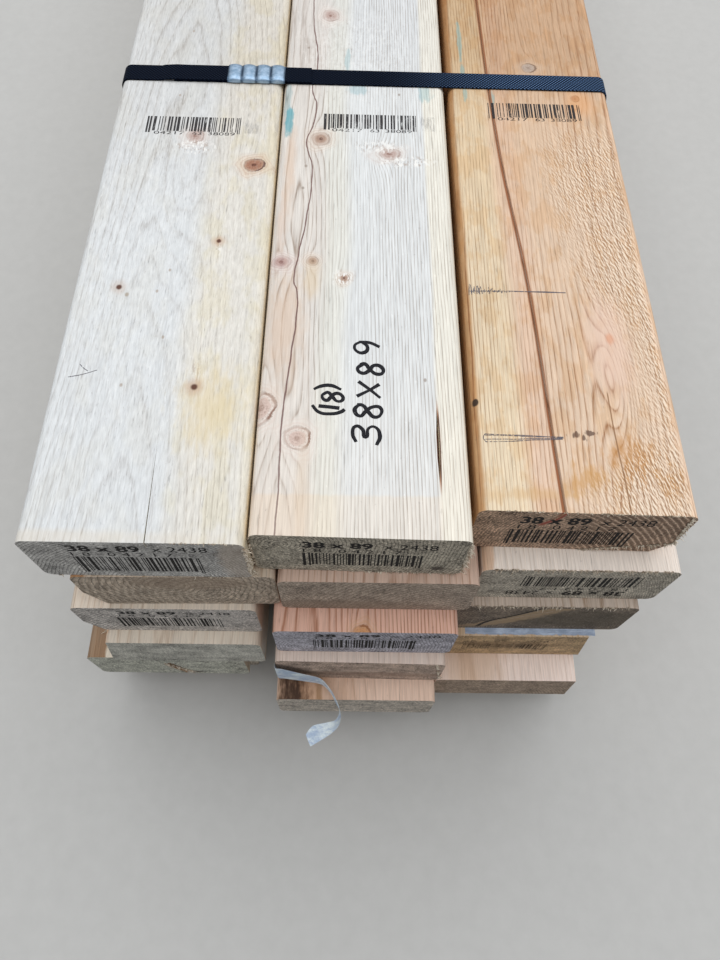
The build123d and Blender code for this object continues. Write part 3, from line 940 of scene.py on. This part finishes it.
# %% Bars and numbers
def flat_bars(edges, bottoms, top):
    """One mesh of flat bars: a grid with a column for each bar and gap, its gaps deleted.
    Edges are where bars and gaps meet, in turn, and bottoms are the feet of the bars."""
    piece = grid(len(edges) - 1, 1)
    corners = sorted(piece.data.vertices, key=lambda vertex: (round(vertex.co.x, 4), vertex.co.y))
    for number, edge in enumerate(edges):
        bottom = bottoms[min(number // 2, len(bottoms) - 1)]
        corners[2 * number].co = (edge, bottom, 0)
        corners[2 * number + 1].co = (edge, top, 0)
    gaps = list(zip(edges[1::2], edges[2::2]))
    only(piece)
    bpy.ops.object.mode_set(mode="EDIT")
    bpy.ops.mesh.select_mode(type="FACE")
    bpy.ops.mesh.select_all(action="DESELECT")
    bpy.ops.object.mode_set(mode="OBJECT")
    for face in piece.data.polygons:
        face.select = any(low < face.center.x < high for low, high in gaps)
    bpy.ops.object.mode_set(mode="EDIT")
    bpy.ops.mesh.delete(type="FACE")
    bpy.ops.mesh.select_mode(type="VERT")
    bpy.ops.object.mode_set(mode="OBJECT")
    return piece


bar_dice = random.Random(18)


def bar_code(left, bottom, right, top, bars):
    """Random bars and gaps, a few of the bars longer as guards."""
    widths = [bar_dice.choice((1, 1, 1, 2, 2, 3)) for _ in range(2 * bars - 1)]
    module = (right - left) / sum(widths)
    edges = [left]
    for width in widths:
        edges.append(edges[-1] + width * module)
    guards = (0, 1, bars - 2, bars - 1)
    longer = 0.12 * (top - bottom)
    bottoms = [bottom - longer if number in guards else bottom for number in range(bars)]
    return flat_bars(edges, bottoms, top)


def numerals(body, left, bottom, right, top, bold=0.0):
    """Plain numbers, stretched to fill a box."""
    bpy.ops.object.text_add()
    text = bpy.context.object
    text.data.body = body
    text.data.offset = bold
    text.data.resolution_u = 3
    only(text)
    bpy.ops.object.convert(target="MESH")
    corners = [v.co for v in text.data.vertices]
    low = Vector((min(c.x for c in corners), min(c.y for c in corners), 0))
    high = Vector((max(c.x for c in corners), max(c.y for c in corners), 0))
    stretch = Matrix.Diagonal(((right - left) / (high.x - low.x), (top - bottom) / (high.y - low.y), 1, 1))
    text.data.transform(Matrix.Translation((left, bottom, 0)) @ stretch @ Matrix.Translation(-low))
    return text


# %% Printed marks
def lay_mark(piece, stud, face, material, turned=False):
    """Lay a flat mark on a stud's face, just proud of the wood."""
    if turned:
        centre = Matrix.Translation(end_middle)
        piece.data.transform(centre @ Matrix.Rotation(math.pi, 4, "Z") @ centre.inverted())
    piece.data.transform(face_frame(stud, face) @ Matrix.Translation((0, 0, ink_proud)))
    coat(piece, material)
    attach(piece, "root")


def end_mark(stud, text_box, bars_box, material, turned=False):
    """The print on a sawn end: a bold size, a line of small numbers and bars."""
    left, bottom, right, top = text_box
    middle = bottom + (top - bottom) * 0.42
    pieces = [
        numerals("38 x 89", left, middle, left + (right - left) * 0.52, top, 0.03),
        numerals("x 2438", left + (right - left) * 0.6, middle + 0.6, right, top - 0.4),
        numerals("1 8 - 0 4 2 1 7", left, bottom, left + (right - left) * 0.74, middle - 0.9),
        bar_code(*bars_box, 34),
    ]
    mark = join(pieces, "print_end_" + stud.removeprefix("stud_"))
    lay_mark(mark, stud, "near", material, turned)


def face_mark(stud, left, bottom, right, top):
    """The bars and small numbers on a face, near the strap."""
    digit = (top - bottom) * 0.17
    third = (right - left) / 3
    pieces = [bar_code(left, bottom + digit * 1.1, right, top, 32)]
    for body, start, end in (("04217", 0.28, 1.25), ("63", 1.5, 1.8), ("38089", 2.0, 2.85)):
        box = (left + start * third, bottom, left + end * third, bottom + digit)
        pieces.append(numerals(body, *box))
    mark = join(pieces, "print_face_" + stud.removeprefix("stud_"))
    lay_mark(mark, stud, "top", print_ink)


end_mark("stud_left_1", (18.5, -14.6, 73.8, -3.6), (18.2, -31.8, 69.0, -15.6), end_ink)
end_mark("stud_middle_1", (21.0, -16.4, 75.8, -5.6), (20.6, -30.5, 70.4, -17.4), end_ink)
end_mark("stud_right_1", (18.4, -16.8, 73.8, -4.6), (15.8, -31.8, 68.4, -17.8), end_ink)
end_mark("stud_left_3", (21.0, -13.0, 76.0, -4.4), (18.8, -29.2, 69.8, -15.0), end_ink)
end_mark("stud_middle_3", (20.3, -12.6, 81.0, -4.4), (18.9, -29.4, 69.6, -14.2), end_ink)
end_mark("stud_right_2", (16.8, -15.4, 73.2, -4.2), (14.8, -29.6, 68.6, -16.8), end_ink, turned=True)
end_mark("stud_right_4", (11.0, -15.4, 57.0, -7.8), (12.0, -26.0, 58.0, -16.0), faint_ink)
face_mark("stud_left_1", 18.5, 231.6, 68.4, 245.6)
face_mark("stud_middle_1", 22.8, 234.2, 72.5, 248.2)
face_mark("stud_right_1", 20.8, 234.6, 71.5, 248.8)
block_width = 7.6
for stud, left, bottom, top in (("stud_left_1", 70.6, 233.6, 244.6), ("stud_middle_1", 75.0, 236.0, 247.4)):
    mark = flat_bars([left, left + block_width], [bottom], top)
    mark.name = "print_block_" + stud.removeprefix("stud_")
    lay_mark(mark, stud, "top", pale_ink)

# %% [markdown]
# The size and count on the middle stud were written with a felt marker by someone who stood at the
# left, so they read away from the near end. Each stroke is a smooth curve with a round bevel,
# made a mesh and pressed flat. Pencil lines and scratches are thinner strokes of the same kind.

# %% Strokes
glyphs = {
    "3": (((0.10, 0.86), (0.45, 1.0), (0.78, 0.86), (0.66, 0.62), (0.36, 0.53), (0.74, 0.42), (0.86, 0.18),
           (0.48, -0.02), (0.08, 0.10)),),
    "8": (((0.74, 0.84), (0.46, 1.0), (0.20, 0.82), (0.40, 0.58), (0.74, 0.34), (0.70, 0.06), (0.38, 0.0),
           (0.22, 0.22), (0.46, 0.50), (0.78, 0.72), (0.72, 0.90)),),
    "9": (((0.80, 0.80), (0.56, 1.0), (0.24, 0.90), (0.20, 0.62), (0.50, 0.50), (0.80, 0.70)),
          ((0.82, 0.84), (0.80, 0.45), (0.66, 0.0))),
    "X": (((0.06, 0.96), (0.45, 0.50), (0.92, 0.04)), ((0.88, 0.92), (0.50, 0.46), (0.12, 0.0))),
    "1": (((0.52, 1.0), (0.50, 0.5), (0.46, 0.0)),),
    "(": (((0.86, 1.08), (0.44, 0.80), (0.32, 0.42), (0.54, -0.02), (0.80, -0.14)),),
    ")": (((0.22, 1.04), (0.58, 0.74), (0.66, 0.36), (0.44, -0.06)),),
}


pressure = random.Random(3)
hand = random.Random(12)
slant = 0.14


def smooth_line(curve, points, radii):
    """Add a smooth line through points to a curve, with its relative thickness at each."""
    spline = curve.splines.new("BEZIER")
    spline.bezier_points.add(len(points) - 1)
    for stop, place, radius in zip(spline.bezier_points, points, radii):
        stop.co = place
        stop.radius = radius
        stop.handle_left_type = stop.handle_right_type = "AUTO"


def strokes(name, lines, radius, stud, material):
    """Round strokes through points in flat millimetres, pressed nearly flat on a stud's top."""
    curve = bpy.data.curves.new(name, "CURVE")
    curve.dimensions = "3D"
    curve.bevel_depth = radius
    curve.bevel_resolution = 1
    curve.use_fill_caps = True
    curve.resolution_u = 5
    for line in lines:
        smooth_line(curve, [(x, y, 0) for x, y in line], [pressure.uniform(0.75, 1.25) for _ in line])
    piece = as_mesh(name, curve)
    piece.data.transform(Matrix.Diagonal((1, 1, 0.03, 1)))
    lay_mark(piece, stud, "top", material)
    print(name, "strokes:", len(lines))


def written(rows):
    """Characters that read away from the near end, each with its foot's distance from the left
    side, its start, its height and its width."""
    lines = []
    for character, foot, start, tall, wide in rows:
        for line in glyphs[character]:
            points = []
            for along, up in line:
                shake = (hand.uniform(-0.3, 0.3), hand.uniform(-0.3, 0.3))
                points.append((foot - up * tall + shake[0], start + (along + slant * up) * wide + shake[1]))
            lines.append(points)
    return lines


# %% Marker, pencil and scratches
size_mark = written((
    ("3", 52.0, 41.0, 11.5, 11.5), ("8", 52.6, 53.6, 11.2, 9.6), ("X", 52.4, 64.6, 10.6, 9.0),
    ("8", 53.6, 75.6, 11.0, 8.6), ("9", 52.4, 86.6, 11.2, 9.4),
))
strokes("marker_size", size_mark, 0.8, "stud_middle_1", marker_ink)
count_mark = written((
    ("(", 35.4, 54.4, 11.5, 7.0), ("1", 35.0, 58.2, 9.0, 4.0), ("8", 36.0, 62.0, 8.6, 6.6),
    (")", 34.6, 67.0, 10.6, 6.0),
))
strokes("marker_count", count_mark, 0.74, "stud_middle_1", marker_ink)

jitter = random.Random(5)
cross_line = 114.2
hairs = 26
pencil = []
for lift in (0.0, 0.35):
    pencil.append([(3.0 + 9.0 * k, cross_line + lift + jitter.uniform(-0.3, 0.3)) for k in range(6)])
for height, end in ((36.8, 36.0), (36.2, 35.7), (33.0, 35.0), (34.1, 35.3)):
    rise = (end - height) / 5
    pencil.append([(4.6 + 6.6 * k, height + rise * k + jitter.uniform(-0.15, 0.15)) for k in range(6)])
pencil.append([(4.6, 36.8), (3.8, 35.0), (4.8, 33.0)])
for k in range(hairs):
    x = 2.6 + 0.75 * k + jitter.uniform(-0.4, 0.4)
    reach = jitter.uniform(0.6, 3.6) * (1.25 - k / hairs)
    pencil.append([(x, cross_line - reach * 0.5), (x + jitter.uniform(-0.8, 1.2), cross_line + reach)])
strokes("pencil_lines", pencil, 0.2, "stud_right_1", graphite)
scratch = [[(7.4, 76.2), (13.0, 77.6), (19.2, 80.1)], [(11.3, 83.1), (13.2, 81.0), (15.4, 79.5)]]
strokes("scratch", scratch, 0.2, "stud_left_1", graphite)

# %% [markdown]
# A saw leaves splinters hanging from the far side of its cut, and planed arrises fray there too.
# They are too fine for a material to show in outline. So each frayed edge gets a row of slender
# tapered curves, bent a little at random and made one mesh.

# %% Frayed edges
def splinter_finish():
    """Torn fibres, bright where they catch the light."""
    finish = Finish("splinters")
    shade = finish.noise((1.2, 6, 1.2), 2.0, 0.6)
    colour = finish.mix(shade.rise(0.3, 0.7), (0.34, 0.25, 0.17), (0.92, 0.84, 0.71))
    return finish.surface(colour, 0.7 + shade * 0.2, Specular_IOR_Level=0.2)


splinters = splinter_finish()
splinter_dice = random.Random(33)
taper = (1.3, 0.9, 0.12)


def fray(first, last, out, count, reach):
    """Splinters along an edge of the near end. Its first and last point are given by distance
    from the left side, height and, if not 0, distance in front of the near end. Out is the
    direction the splinters lean in and reach is their longest length."""
    dice = splinter_dice
    curve = bpy.data.curves.new("fray", "CURVE")
    curve.dimensions = "3D"
    curve.bevel_depth = 0.3
    curve.bevel_resolution = 0
    curve.resolution_u = 2
    start, end = [Vector((*point, 0.0)[:3]) for point in (first, last)]
    for _ in range(count):
        root = start.lerp(end, dice.random())
        length = reach * (0.25 + 0.75 * dice.random() ** 2)
        lean = (out[0] + dice.uniform(-0.5, 0.5), out[1] + dice.uniform(-0.5, 0.5))
        forward = dice.uniform(0.1, 0.8)
        points, radii = [], []
        for step, thickness in enumerate(taper):
            t = step / 2 - 0.2
            sag = t * t * dice.uniform(-0.4, 0.4)
            x = root.x + length * (lean[0] * t + sag)
            y = root.y + length * (lean[1] * t - abs(sag))
            points.append((x, y, root.z + max(t, 0) * length * forward))
            radii.append(thickness * dice.uniform(0.6, 1.4))
        smooth_line(curve, points, radii)
    return as_mesh("fray", curve)


frayed = {
    "stud_left_1": (
        ((88.4, -3.5), (88.4, -34.0), (0.8, -0.3), 90, 4.2),
        ((60.0, 0.0), (86.0, 0.0), (0.0, -0.6), 26, 2.2),
        ((4.0, -38.0), (86.0, -38.0), (0.1, -0.8), 46, 2.2),
    ),
    "stud_middle_1": (
        ((88.4, -3.0), (88.4, -34.5), (0.6, -0.4), 120, 3.4),
        ((86.0, -37.0), (40.0, -38.0), (0.2, -0.7), 60, 2.6),
        ((0.2, -3.0), (0.2, -33.0), (-0.7, 0.0), 24, 2.6),
    ),
    "stud_right_1": (
        ((86.0, -0.6), (88.6, -28.0), (0.7, -0.2), 100, 3.2),
        ((88.4, -28.0), (50.0, -38.0), (0.3, -0.7), 120, 3.0),
        ((10.0, 0.2), (86.0, 0.2), (0.0, -0.6), 90, 1.8),
    ),
    "stud_middle_4": (((84.0, -0.3), (88.8, -34.0), (0.8, -0.2), 50, 2.8),),
    "stud_right_2": (((4.0, 0.1), (84.0, 0.1), (0.1, -0.9), 150, 3.2),),
    "stud_right_3": (((6.0, 0.1), (84.0, 0.1), (0.2, -0.9), 90, 3.6),),
    "stud_left_5": (
        ((5.0, -1.0, -24.0), (12.5, 0.0, -12.0), (-0.3, 0.5), 34, 8.0),
        ((42.0, -12.0), (54.0, -30.0), (0.5, -0.9), 26, 6.0),
    ),
}
for stud, edges in frayed.items():
    frayed_edge = join([fray(*edge) for edge in edges], "frayed_" + stud.removeprefix("stud_"))
    frayed_edge.data.transform(face_frame(stud, "near"))
    coat(frayed_edge, splinters)
    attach(frayed_edge, "root")
    print(frayed_edge.name, "faces", len(frayed_edge.data.polygons))

# %% [markdown]
# ## Straps and seals
# The strap is polyester band, pressed with a fine pattern of crossed lines. It starts under its
# own tail on top, goes once round the bundle, climbs over that start and ends square past the
# seal. A flat profile swept along that path as a curve's bevel gives one even ribbon. The seal is
# a steel sleeve whose crimps leave four puffed lobes, so its sheet is bent from a fine grid.

# %% Strap finish
def strap_finish():
    """Near black polyester, embossed with crossed lines. Its ridges and scuffs are painted paler blue, more
    so towards the right: a painted sheen and highlight.
    """
    finish = Finish("strap_polyester")
    x, y, z = finish.axes(finish.place)
    _, _, up = finish.axes(finish.normal)
    flat = abs(up).rise(0.5, 0.8)
    along = x * flat + z * (1 - flat)
    pitch = 2.0
    first = abs(((along + y) / pitch).fraction() - 0.5)
    second = abs(((along - y) / pitch).fraction() - 0.5)
    ridges = (first * second * 4).rise(0.05, 0.7)
    scuff = finish.noise((9, 1.2, 9), 3.0, 0.6)
    dust = finish.noise((22, 9, 22), 3.0, 0.6, 4.0)
    # painted sheen: ridges and scuffs turn paler blue from left to right
    painted_sheen = x.rise(10.0, 100.0) * 0.85 + 0.08
    colour = finish.mix(ridges * painted_sheen, (0.0003, 0.0010, 0.005), (0.12, 0.22, 0.42))
    colour = finish.mix(scuff.rise(0.55, 0.8) * painted_sheen * 0.5, colour, (0.06, 0.10, 0.17))
    colour = finish.mix(dust.rise(0.66, 0.9) * 0.05, colour, (0.12, 0.13, 0.15))
    relief = finish.bump(ridges, 0.2, 1.0)
    return finish.surface(colour, 0.5 + scuff * 0.2, Specular_IOR_Level=0.03, Normal=relief)


strap_material = strap_finish()


# %% Strap path
def hull(points):
    """Corners of the tightest loop round some points, in turn."""
    points = sorted(set(points))

    def half(run):
        chain = []
        for p in run:
            while len(chain) > 1:
                (ax, az), (bx, bz) = chain[-2], chain[-1]
                if (bx - ax) * (p[1] - az) - (bz - az) * (p[0] - ax) > 0:
                    break
                chain.pop()
            chain.append(p)
        return chain[:-1]

    return half(points) + half(points[::-1])


arris = 4.0 * mm
strap_slack = 0.1 * mm
strap_thickness = 0.8 * mm
strap_width = 12.7 * mm
studs = sorted(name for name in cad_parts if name.startswith("stud_"))
core = []
for stud in studs:
    low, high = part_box(stud)
    for x in (low.x + arris, high.x - arris):
        for z in (low.z + arris, high.z - arris):
            core.append((round(x, 6), round(z, 6)))
corners = hull(core)
print("the strap turns at", len(corners), "corners")
turn_step = math.radians(15)
stride = 4 * mm
climb_step = 1.5 * mm
hump = 0.1 * mm
settle = 6 * mm


def strap_loop(reach, start_x, climb_x, end_x):
    """One turn of the strap: from its start on top, clockwise round the bundle and over itself."""
    ring = []
    count = len(corners)
    for number, corner in enumerate(corners):
        before, after = corners[number - 1], corners[(number + 1) % count]
        first = math.atan2(before[0] - corner[0], corner[1] - before[1])
        last = math.atan2(corner[0] - after[0], after[1] - corner[1])
        while last < first:
            last += 2 * math.pi
        steps = max(1, round((last - first) / turn_step))
        for step in range(steps + 1):
            angle = first + (last - first) * step / steps
            ring.append((corner[0] + reach * math.cos(angle), corner[1] + reach * math.sin(angle)))
    ring.reverse()
    top = max(z for _, z in ring)
    on_top = [number for number, (_, z) in enumerate(ring) if z > top - 1e-6]
    right_turn = max(on_top, key=lambda number: ring[number][0])
    ring = ring[right_turn:] + ring[:right_turn]
    over = top + strap_thickness
    under_tail = [start_x + stride * k for k in range(1, 18)]
    path = [(start_x, top)] + [(x, top) for x in under_tail if x < ring[0][0] - stride] + ring
    path += [(climb_x, top), (climb_x + climb_step, top + 0.5 * strap_thickness)]
    path += [(start_x, over + hump), (start_x + settle, over), (end_x, over)]
    return path


# %% Straps
def straight_lines(curve, points):
    """Add straight lines through points to a curve."""
    spline = curve.splines.new("POLY")
    spline.points.add(len(points) - 1)
    for stop, place in zip(spline.points, points):
        stop.co = (*place, 1)
    return spline


def strap_section(name):
    """The strap's cross-section, a flat bar with its corners cut, as a closed curve."""
    half, thin, cut = strap_width / 2, strap_thickness / 2, 0.25 * mm
    outline = [(-half, -thin + cut), (-half + cut, -thin), (half - cut, -thin), (half, -thin + cut)]
    outline += [(-x, -y) for x, y in outline]
    profile = bpy.data.curves.new(name, "CURVE")
    straight_lines(profile, [(x, y, 0) for x, y in outline]).use_cyclic_u = True
    section = bpy.data.objects.new(name, profile)
    scene.collection.objects.link(section)
    return section


def sweep_strap(name, node, start_x, climb_x, end_x):
    """The ribbon along its path, in the place of its CAD node."""
    low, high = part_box(node)
    middle = (low.y + high.y) / 2
    reach = arris + strap_slack + strap_thickness / 2
    path = strap_loop(reach, start_x, climb_x, end_x)
    section = strap_section(name + "_profile")
    curve = bpy.data.curves.new(name, "CURVE")
    curve.dimensions = "3D"
    curve.bevel_mode = "OBJECT"
    curve.bevel_object = section
    curve.use_fill_caps = True
    straight_lines(curve, [(x, middle, z) for x, z in path])
    strap = as_mesh(name, curve)
    bpy.data.objects.remove(section)
    mend(strap, gap=0.01 * mm)
    bpy.ops.object.shade_smooth_by_angle(angle=math.radians(28))
    coat(strap, strap_material)
    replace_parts(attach(strap, "root"), node)
    return strap


lap_before = 29.4 * mm
lap_after = 14.6 * mm
climb = 8 * mm
for end in ("front", "rear"):
    seal_low, seal_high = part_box(f"strap_{end}_seal")
    lap_start = seal_low.x - lap_before
    lap_end = seal_high.x + lap_after
    strap = sweep_strap(f"band_{end}", f"strap_{end}", lap_start, lap_start - climb, lap_end)
    low, high = strap.bound_box[0], strap.bound_box[6]
    print(strap.name, "faces", len(strap.data.polygons), "box", [round(v, 4) for v in (*low, *high)])

# %% Seals
lobes = 4


def steel_finish(left, right):
    """Thin zinc-coated steel, pale blue grey, with painted shade in its crimps. Left and right are its ends.
    """
    finish = Finish("seal_zinc")
    x, _, _ = finish.axes(finish.place)
    along = (x - left / mm) * (lobes * mm / (right - left))
    crimp_shade = abs((along + 0.5).fraction() - 0.5).rise(0.16, 0.02)
    blotch = finish.noise((2.2, 2.2, 2.2), 3.0, 0.6)
    scratch = finish.noise((5.0, 0.5, 5.0), 2.0, 0.6, 3.0)
    colour = finish.mix(blotch.rise(0.2, 0.8), (0.20, 0.32, 0.46), (0.42, 0.55, 0.70))
    colour = finish.mix(scratch.rise(0.55, 0.75) * 0.4, colour, (0.12, 0.19, 0.28))
    # painted shade darkens the crimps between the lobes
    colour = finish.mix(crimp_shade * 0.85, colour, (0.03, 0.06, 0.11))
    relief = finish.bump(blotch * 0.6 + scratch * 0.4, 0.12, 0.7)
    return finish.surface(colour, 0.30 + blotch * 0.22, Metallic=0.85, Normal=relief)


seal_left, seal_right = (corner.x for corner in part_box("strap_front_seal"))
steel = steel_finish(seal_left, seal_right)
seal_wall = 0.6 * mm
seal_foot = 0.1 * mm
wrap_angle = math.radians(88)


def bend_seal(name, node):
    """A sleeve round the lapped strap: a grid bent over it, puffed between the crimps."""
    low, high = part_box(node)
    length = high.x - low.x
    half_width = (high.y - low.y) / 2
    height = high.z - low.z
    middle = (low + high) / 2
    seal = grid(72, 28, name)
    for vertex in seal.data.vertices:
        along = (vertex.co.x + 1) / 2
        across = vertex.co.y
        phase = along * lobes + 0.10 * across
        puff = abs(math.sin(math.pi * phase)) ** 0.6
        angle = across * wrap_angle
        side = math.copysign(abs(math.sin(angle)) ** 0.42, angle)
        crown = max(0.0, math.cos(angle)) ** 0.42
        width = half_width * (0.925 + 0.075 * puff)
        rise = height * (0.62 + 0.38 * puff * (0.45 + 0.55 * crown))
        up = low.z + seal_foot + (rise - seal_foot) * crown
        vertex.co = (low.x + length * along, middle.y + width * side, up)
    thicken(seal, seal_wall, -1)
    bpy.ops.object.shade_smooth_by_angle(angle=math.radians(50))
    seal.data.materials.append(steel)
    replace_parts(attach(seal, "root"), node)
    return seal


for end in ("front", "rear"):
    seal = bend_seal(f"crimped_seal_{end}", f"strap_{end}_seal")
    print(seal.name, "faces", len(seal.data.polygons))

# %% [markdown]
# ## Torn wrap
# A torn strip of woven film comes out beside the fourth middle stud, slants across its end,
# turns out over the fifth one and curls so that its tip faces up. Cloth simulation would need
# the whole wrap that the strip was torn from, so the strip is bent between its two given edges.

# %% Film finish
def film_finish(name, pale, deep):
    """Woven plastic film: thin tapes over and under each other, creased and a little glossy."""
    finish = Finish(name)
    x, y, z = finish.axes(finish.place)
    warp = abs(((x + z) / 1.1).fraction() - 0.5)
    weft = abs(((y + z * 0.3) / 1.1).fraction() - 0.5)
    weave = (warp * weft * 4).rise(0.0, 0.8)
    crease = finish.noise((7, 3, 7), 4.0, 0.65)
    colour = finish.mix(crease.rise(0.35, 0.7), deep, pale)
    colour = finish.mix(weave * 0.25, colour, (0.50, 0.58, 0.70))
    relief = finish.bump(weave * 0.3 + crease * 1.2, 0.5, 0.8)
    return finish.surface(colour, 0.35 + crease * 0.2, Normal=relief)


# Two copies of one wrap film: the strip's is the lit one, and the scrap's is darker, a painted shade for the
# shadow it lies in.
film = film_finish("wrap_film_blue", (0.88, 0.97, 1.0), (0.44, 0.56, 0.74))
shaded_film = film_finish("wrap_film_shaded", (0.60, 0.70, 0.86), (0.32, 0.40, 0.55))


# %% Strip of wrap
def through(points, steps):
    """Points on a smooth line that passes through the given ones."""
    padded = [points[0], *points, points[-1]]
    line = []
    for a, b, c, d in zip(padded, padded[1:], padded[2:], padded[3:]):
        for step in range(steps):
            t = step / steps
            line.append(0.5 * (2 * b + (c - a) * t + (2 * a - 5 * b + 4 * c - d) * t ** 2
                               + (3 * b - a - 3 * c + d) * t ** 3))
    return [*line, points[-1]]


film_thickness = 0.12 * mm
ripple_height = 0.25 * mm
fourth = near_corner("stud_middle_4")
strip_edges = (
    ((-0.4, 30.0, -34.0), (-0.4, 30.0, -22.0)), ((-0.4, 8.0, -30.0), (-0.4, 8.0, -14.0)),
    ((-0.2, -1.2, -27.5), (-0.2, -1.2, -5.0)), ((4.0, -2.2, -28.0), (3.5, -1.6, -7.5)),
    ((14.0, -2.6, -32.5), (13.0, -2.0, -16.0)), ((23.5, -3.4, -37.2), (23.0, -2.6, -24.8)),
    ((28.5, -7.6, -37.8), (28.0, -7.0, -26.4)), ((31.5, -12.6, -37.9), (31.5, -12.2, -27.6)),
    ((34.6, -18.6, -38.4), (34.0, -18.6, -29.0)), ((33.8, -24.6, -39.6), (32.2, -23.0, -31.6)),
    ((29.8, -29.0, -39.4), (27.6, -24.2, -33.6)), ((24.0, -33.0, -38.0), (19.6, -26.0, -34.2)),
    ((18.6, -36.2, -37.5), (16.0, -30.4, -35.4)),
)


def bend_strip():
    """A grid whose rows run between the strip's lower and upper edges."""
    lower = through([fourth + Vector(low) * mm for low, _ in strip_edges], 5)
    upper = through([fourth + Vector(high) * mm for _, high in strip_edges], 5)
    strip = grid(len(lower) - 1, 6, "torn_strip")
    phase = random.Random(9).uniform(0, 6)
    for vertex in strip.data.vertices:
        station = round((vertex.co.x + 1) / 2 * (len(lower) - 1))
        t = (vertex.co.y + 1) / 2
        point = lower[station].lerp(upper[station], t)
        ripple = ripple_height * math.sin(station * 0.7 + phase + 3 * t) * math.sin(math.pi * t)
        vertex.co = point + Vector((0, -abs(ripple), ripple))
    mend(strip)
    area = sum(face.area for face in strip.data.polygons)
    length = sum((b - a).length for a, b in zip(lower, lower[1:]))
    print("strip length", round(length, 4), "mean width", round(area / length, 4))
    thicken(strip, film_thickness)
    bpy.ops.object.shade_smooth_by_angle(angle=math.radians(60))
    strip.data.materials.append(film)
    return strip


strip = bend_strip()
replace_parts(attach(strip, "root"), "wrap_strip")

# %% Scrap of wrap
def tear_scrap():
    """A flat piece pinched between two studs, its front edge torn."""
    low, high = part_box("wrap_scrap")
    across, deep = 60, 16
    scrap = grid(across, deep, "torn_scrap")
    tear = random.Random(21)
    bites = [abs(tear.gauss(0, 0.35)) * mm for _ in range(across + 1)]
    for vertex in scrap.data.vertices:
        u, v = (vertex.co.x + 1) / 2, (vertex.co.y + 1) / 2
        bite = bites[round(u * across)] * (1 - v)
        vertex.co = (low.x + (high.x - low.x) * u, low.y + bite + (high.y - low.y - bite) * v ** 1.5,
                     (low.z + high.z) / 2)
    thicken(scrap, high.z - low.z)
    # the darker copy of the film, painted shade
    scrap.data.materials.append(shaded_film)
    return scrap


scrap = tear_scrap()
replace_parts(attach(scrap, "root"), "wrap_scrap")
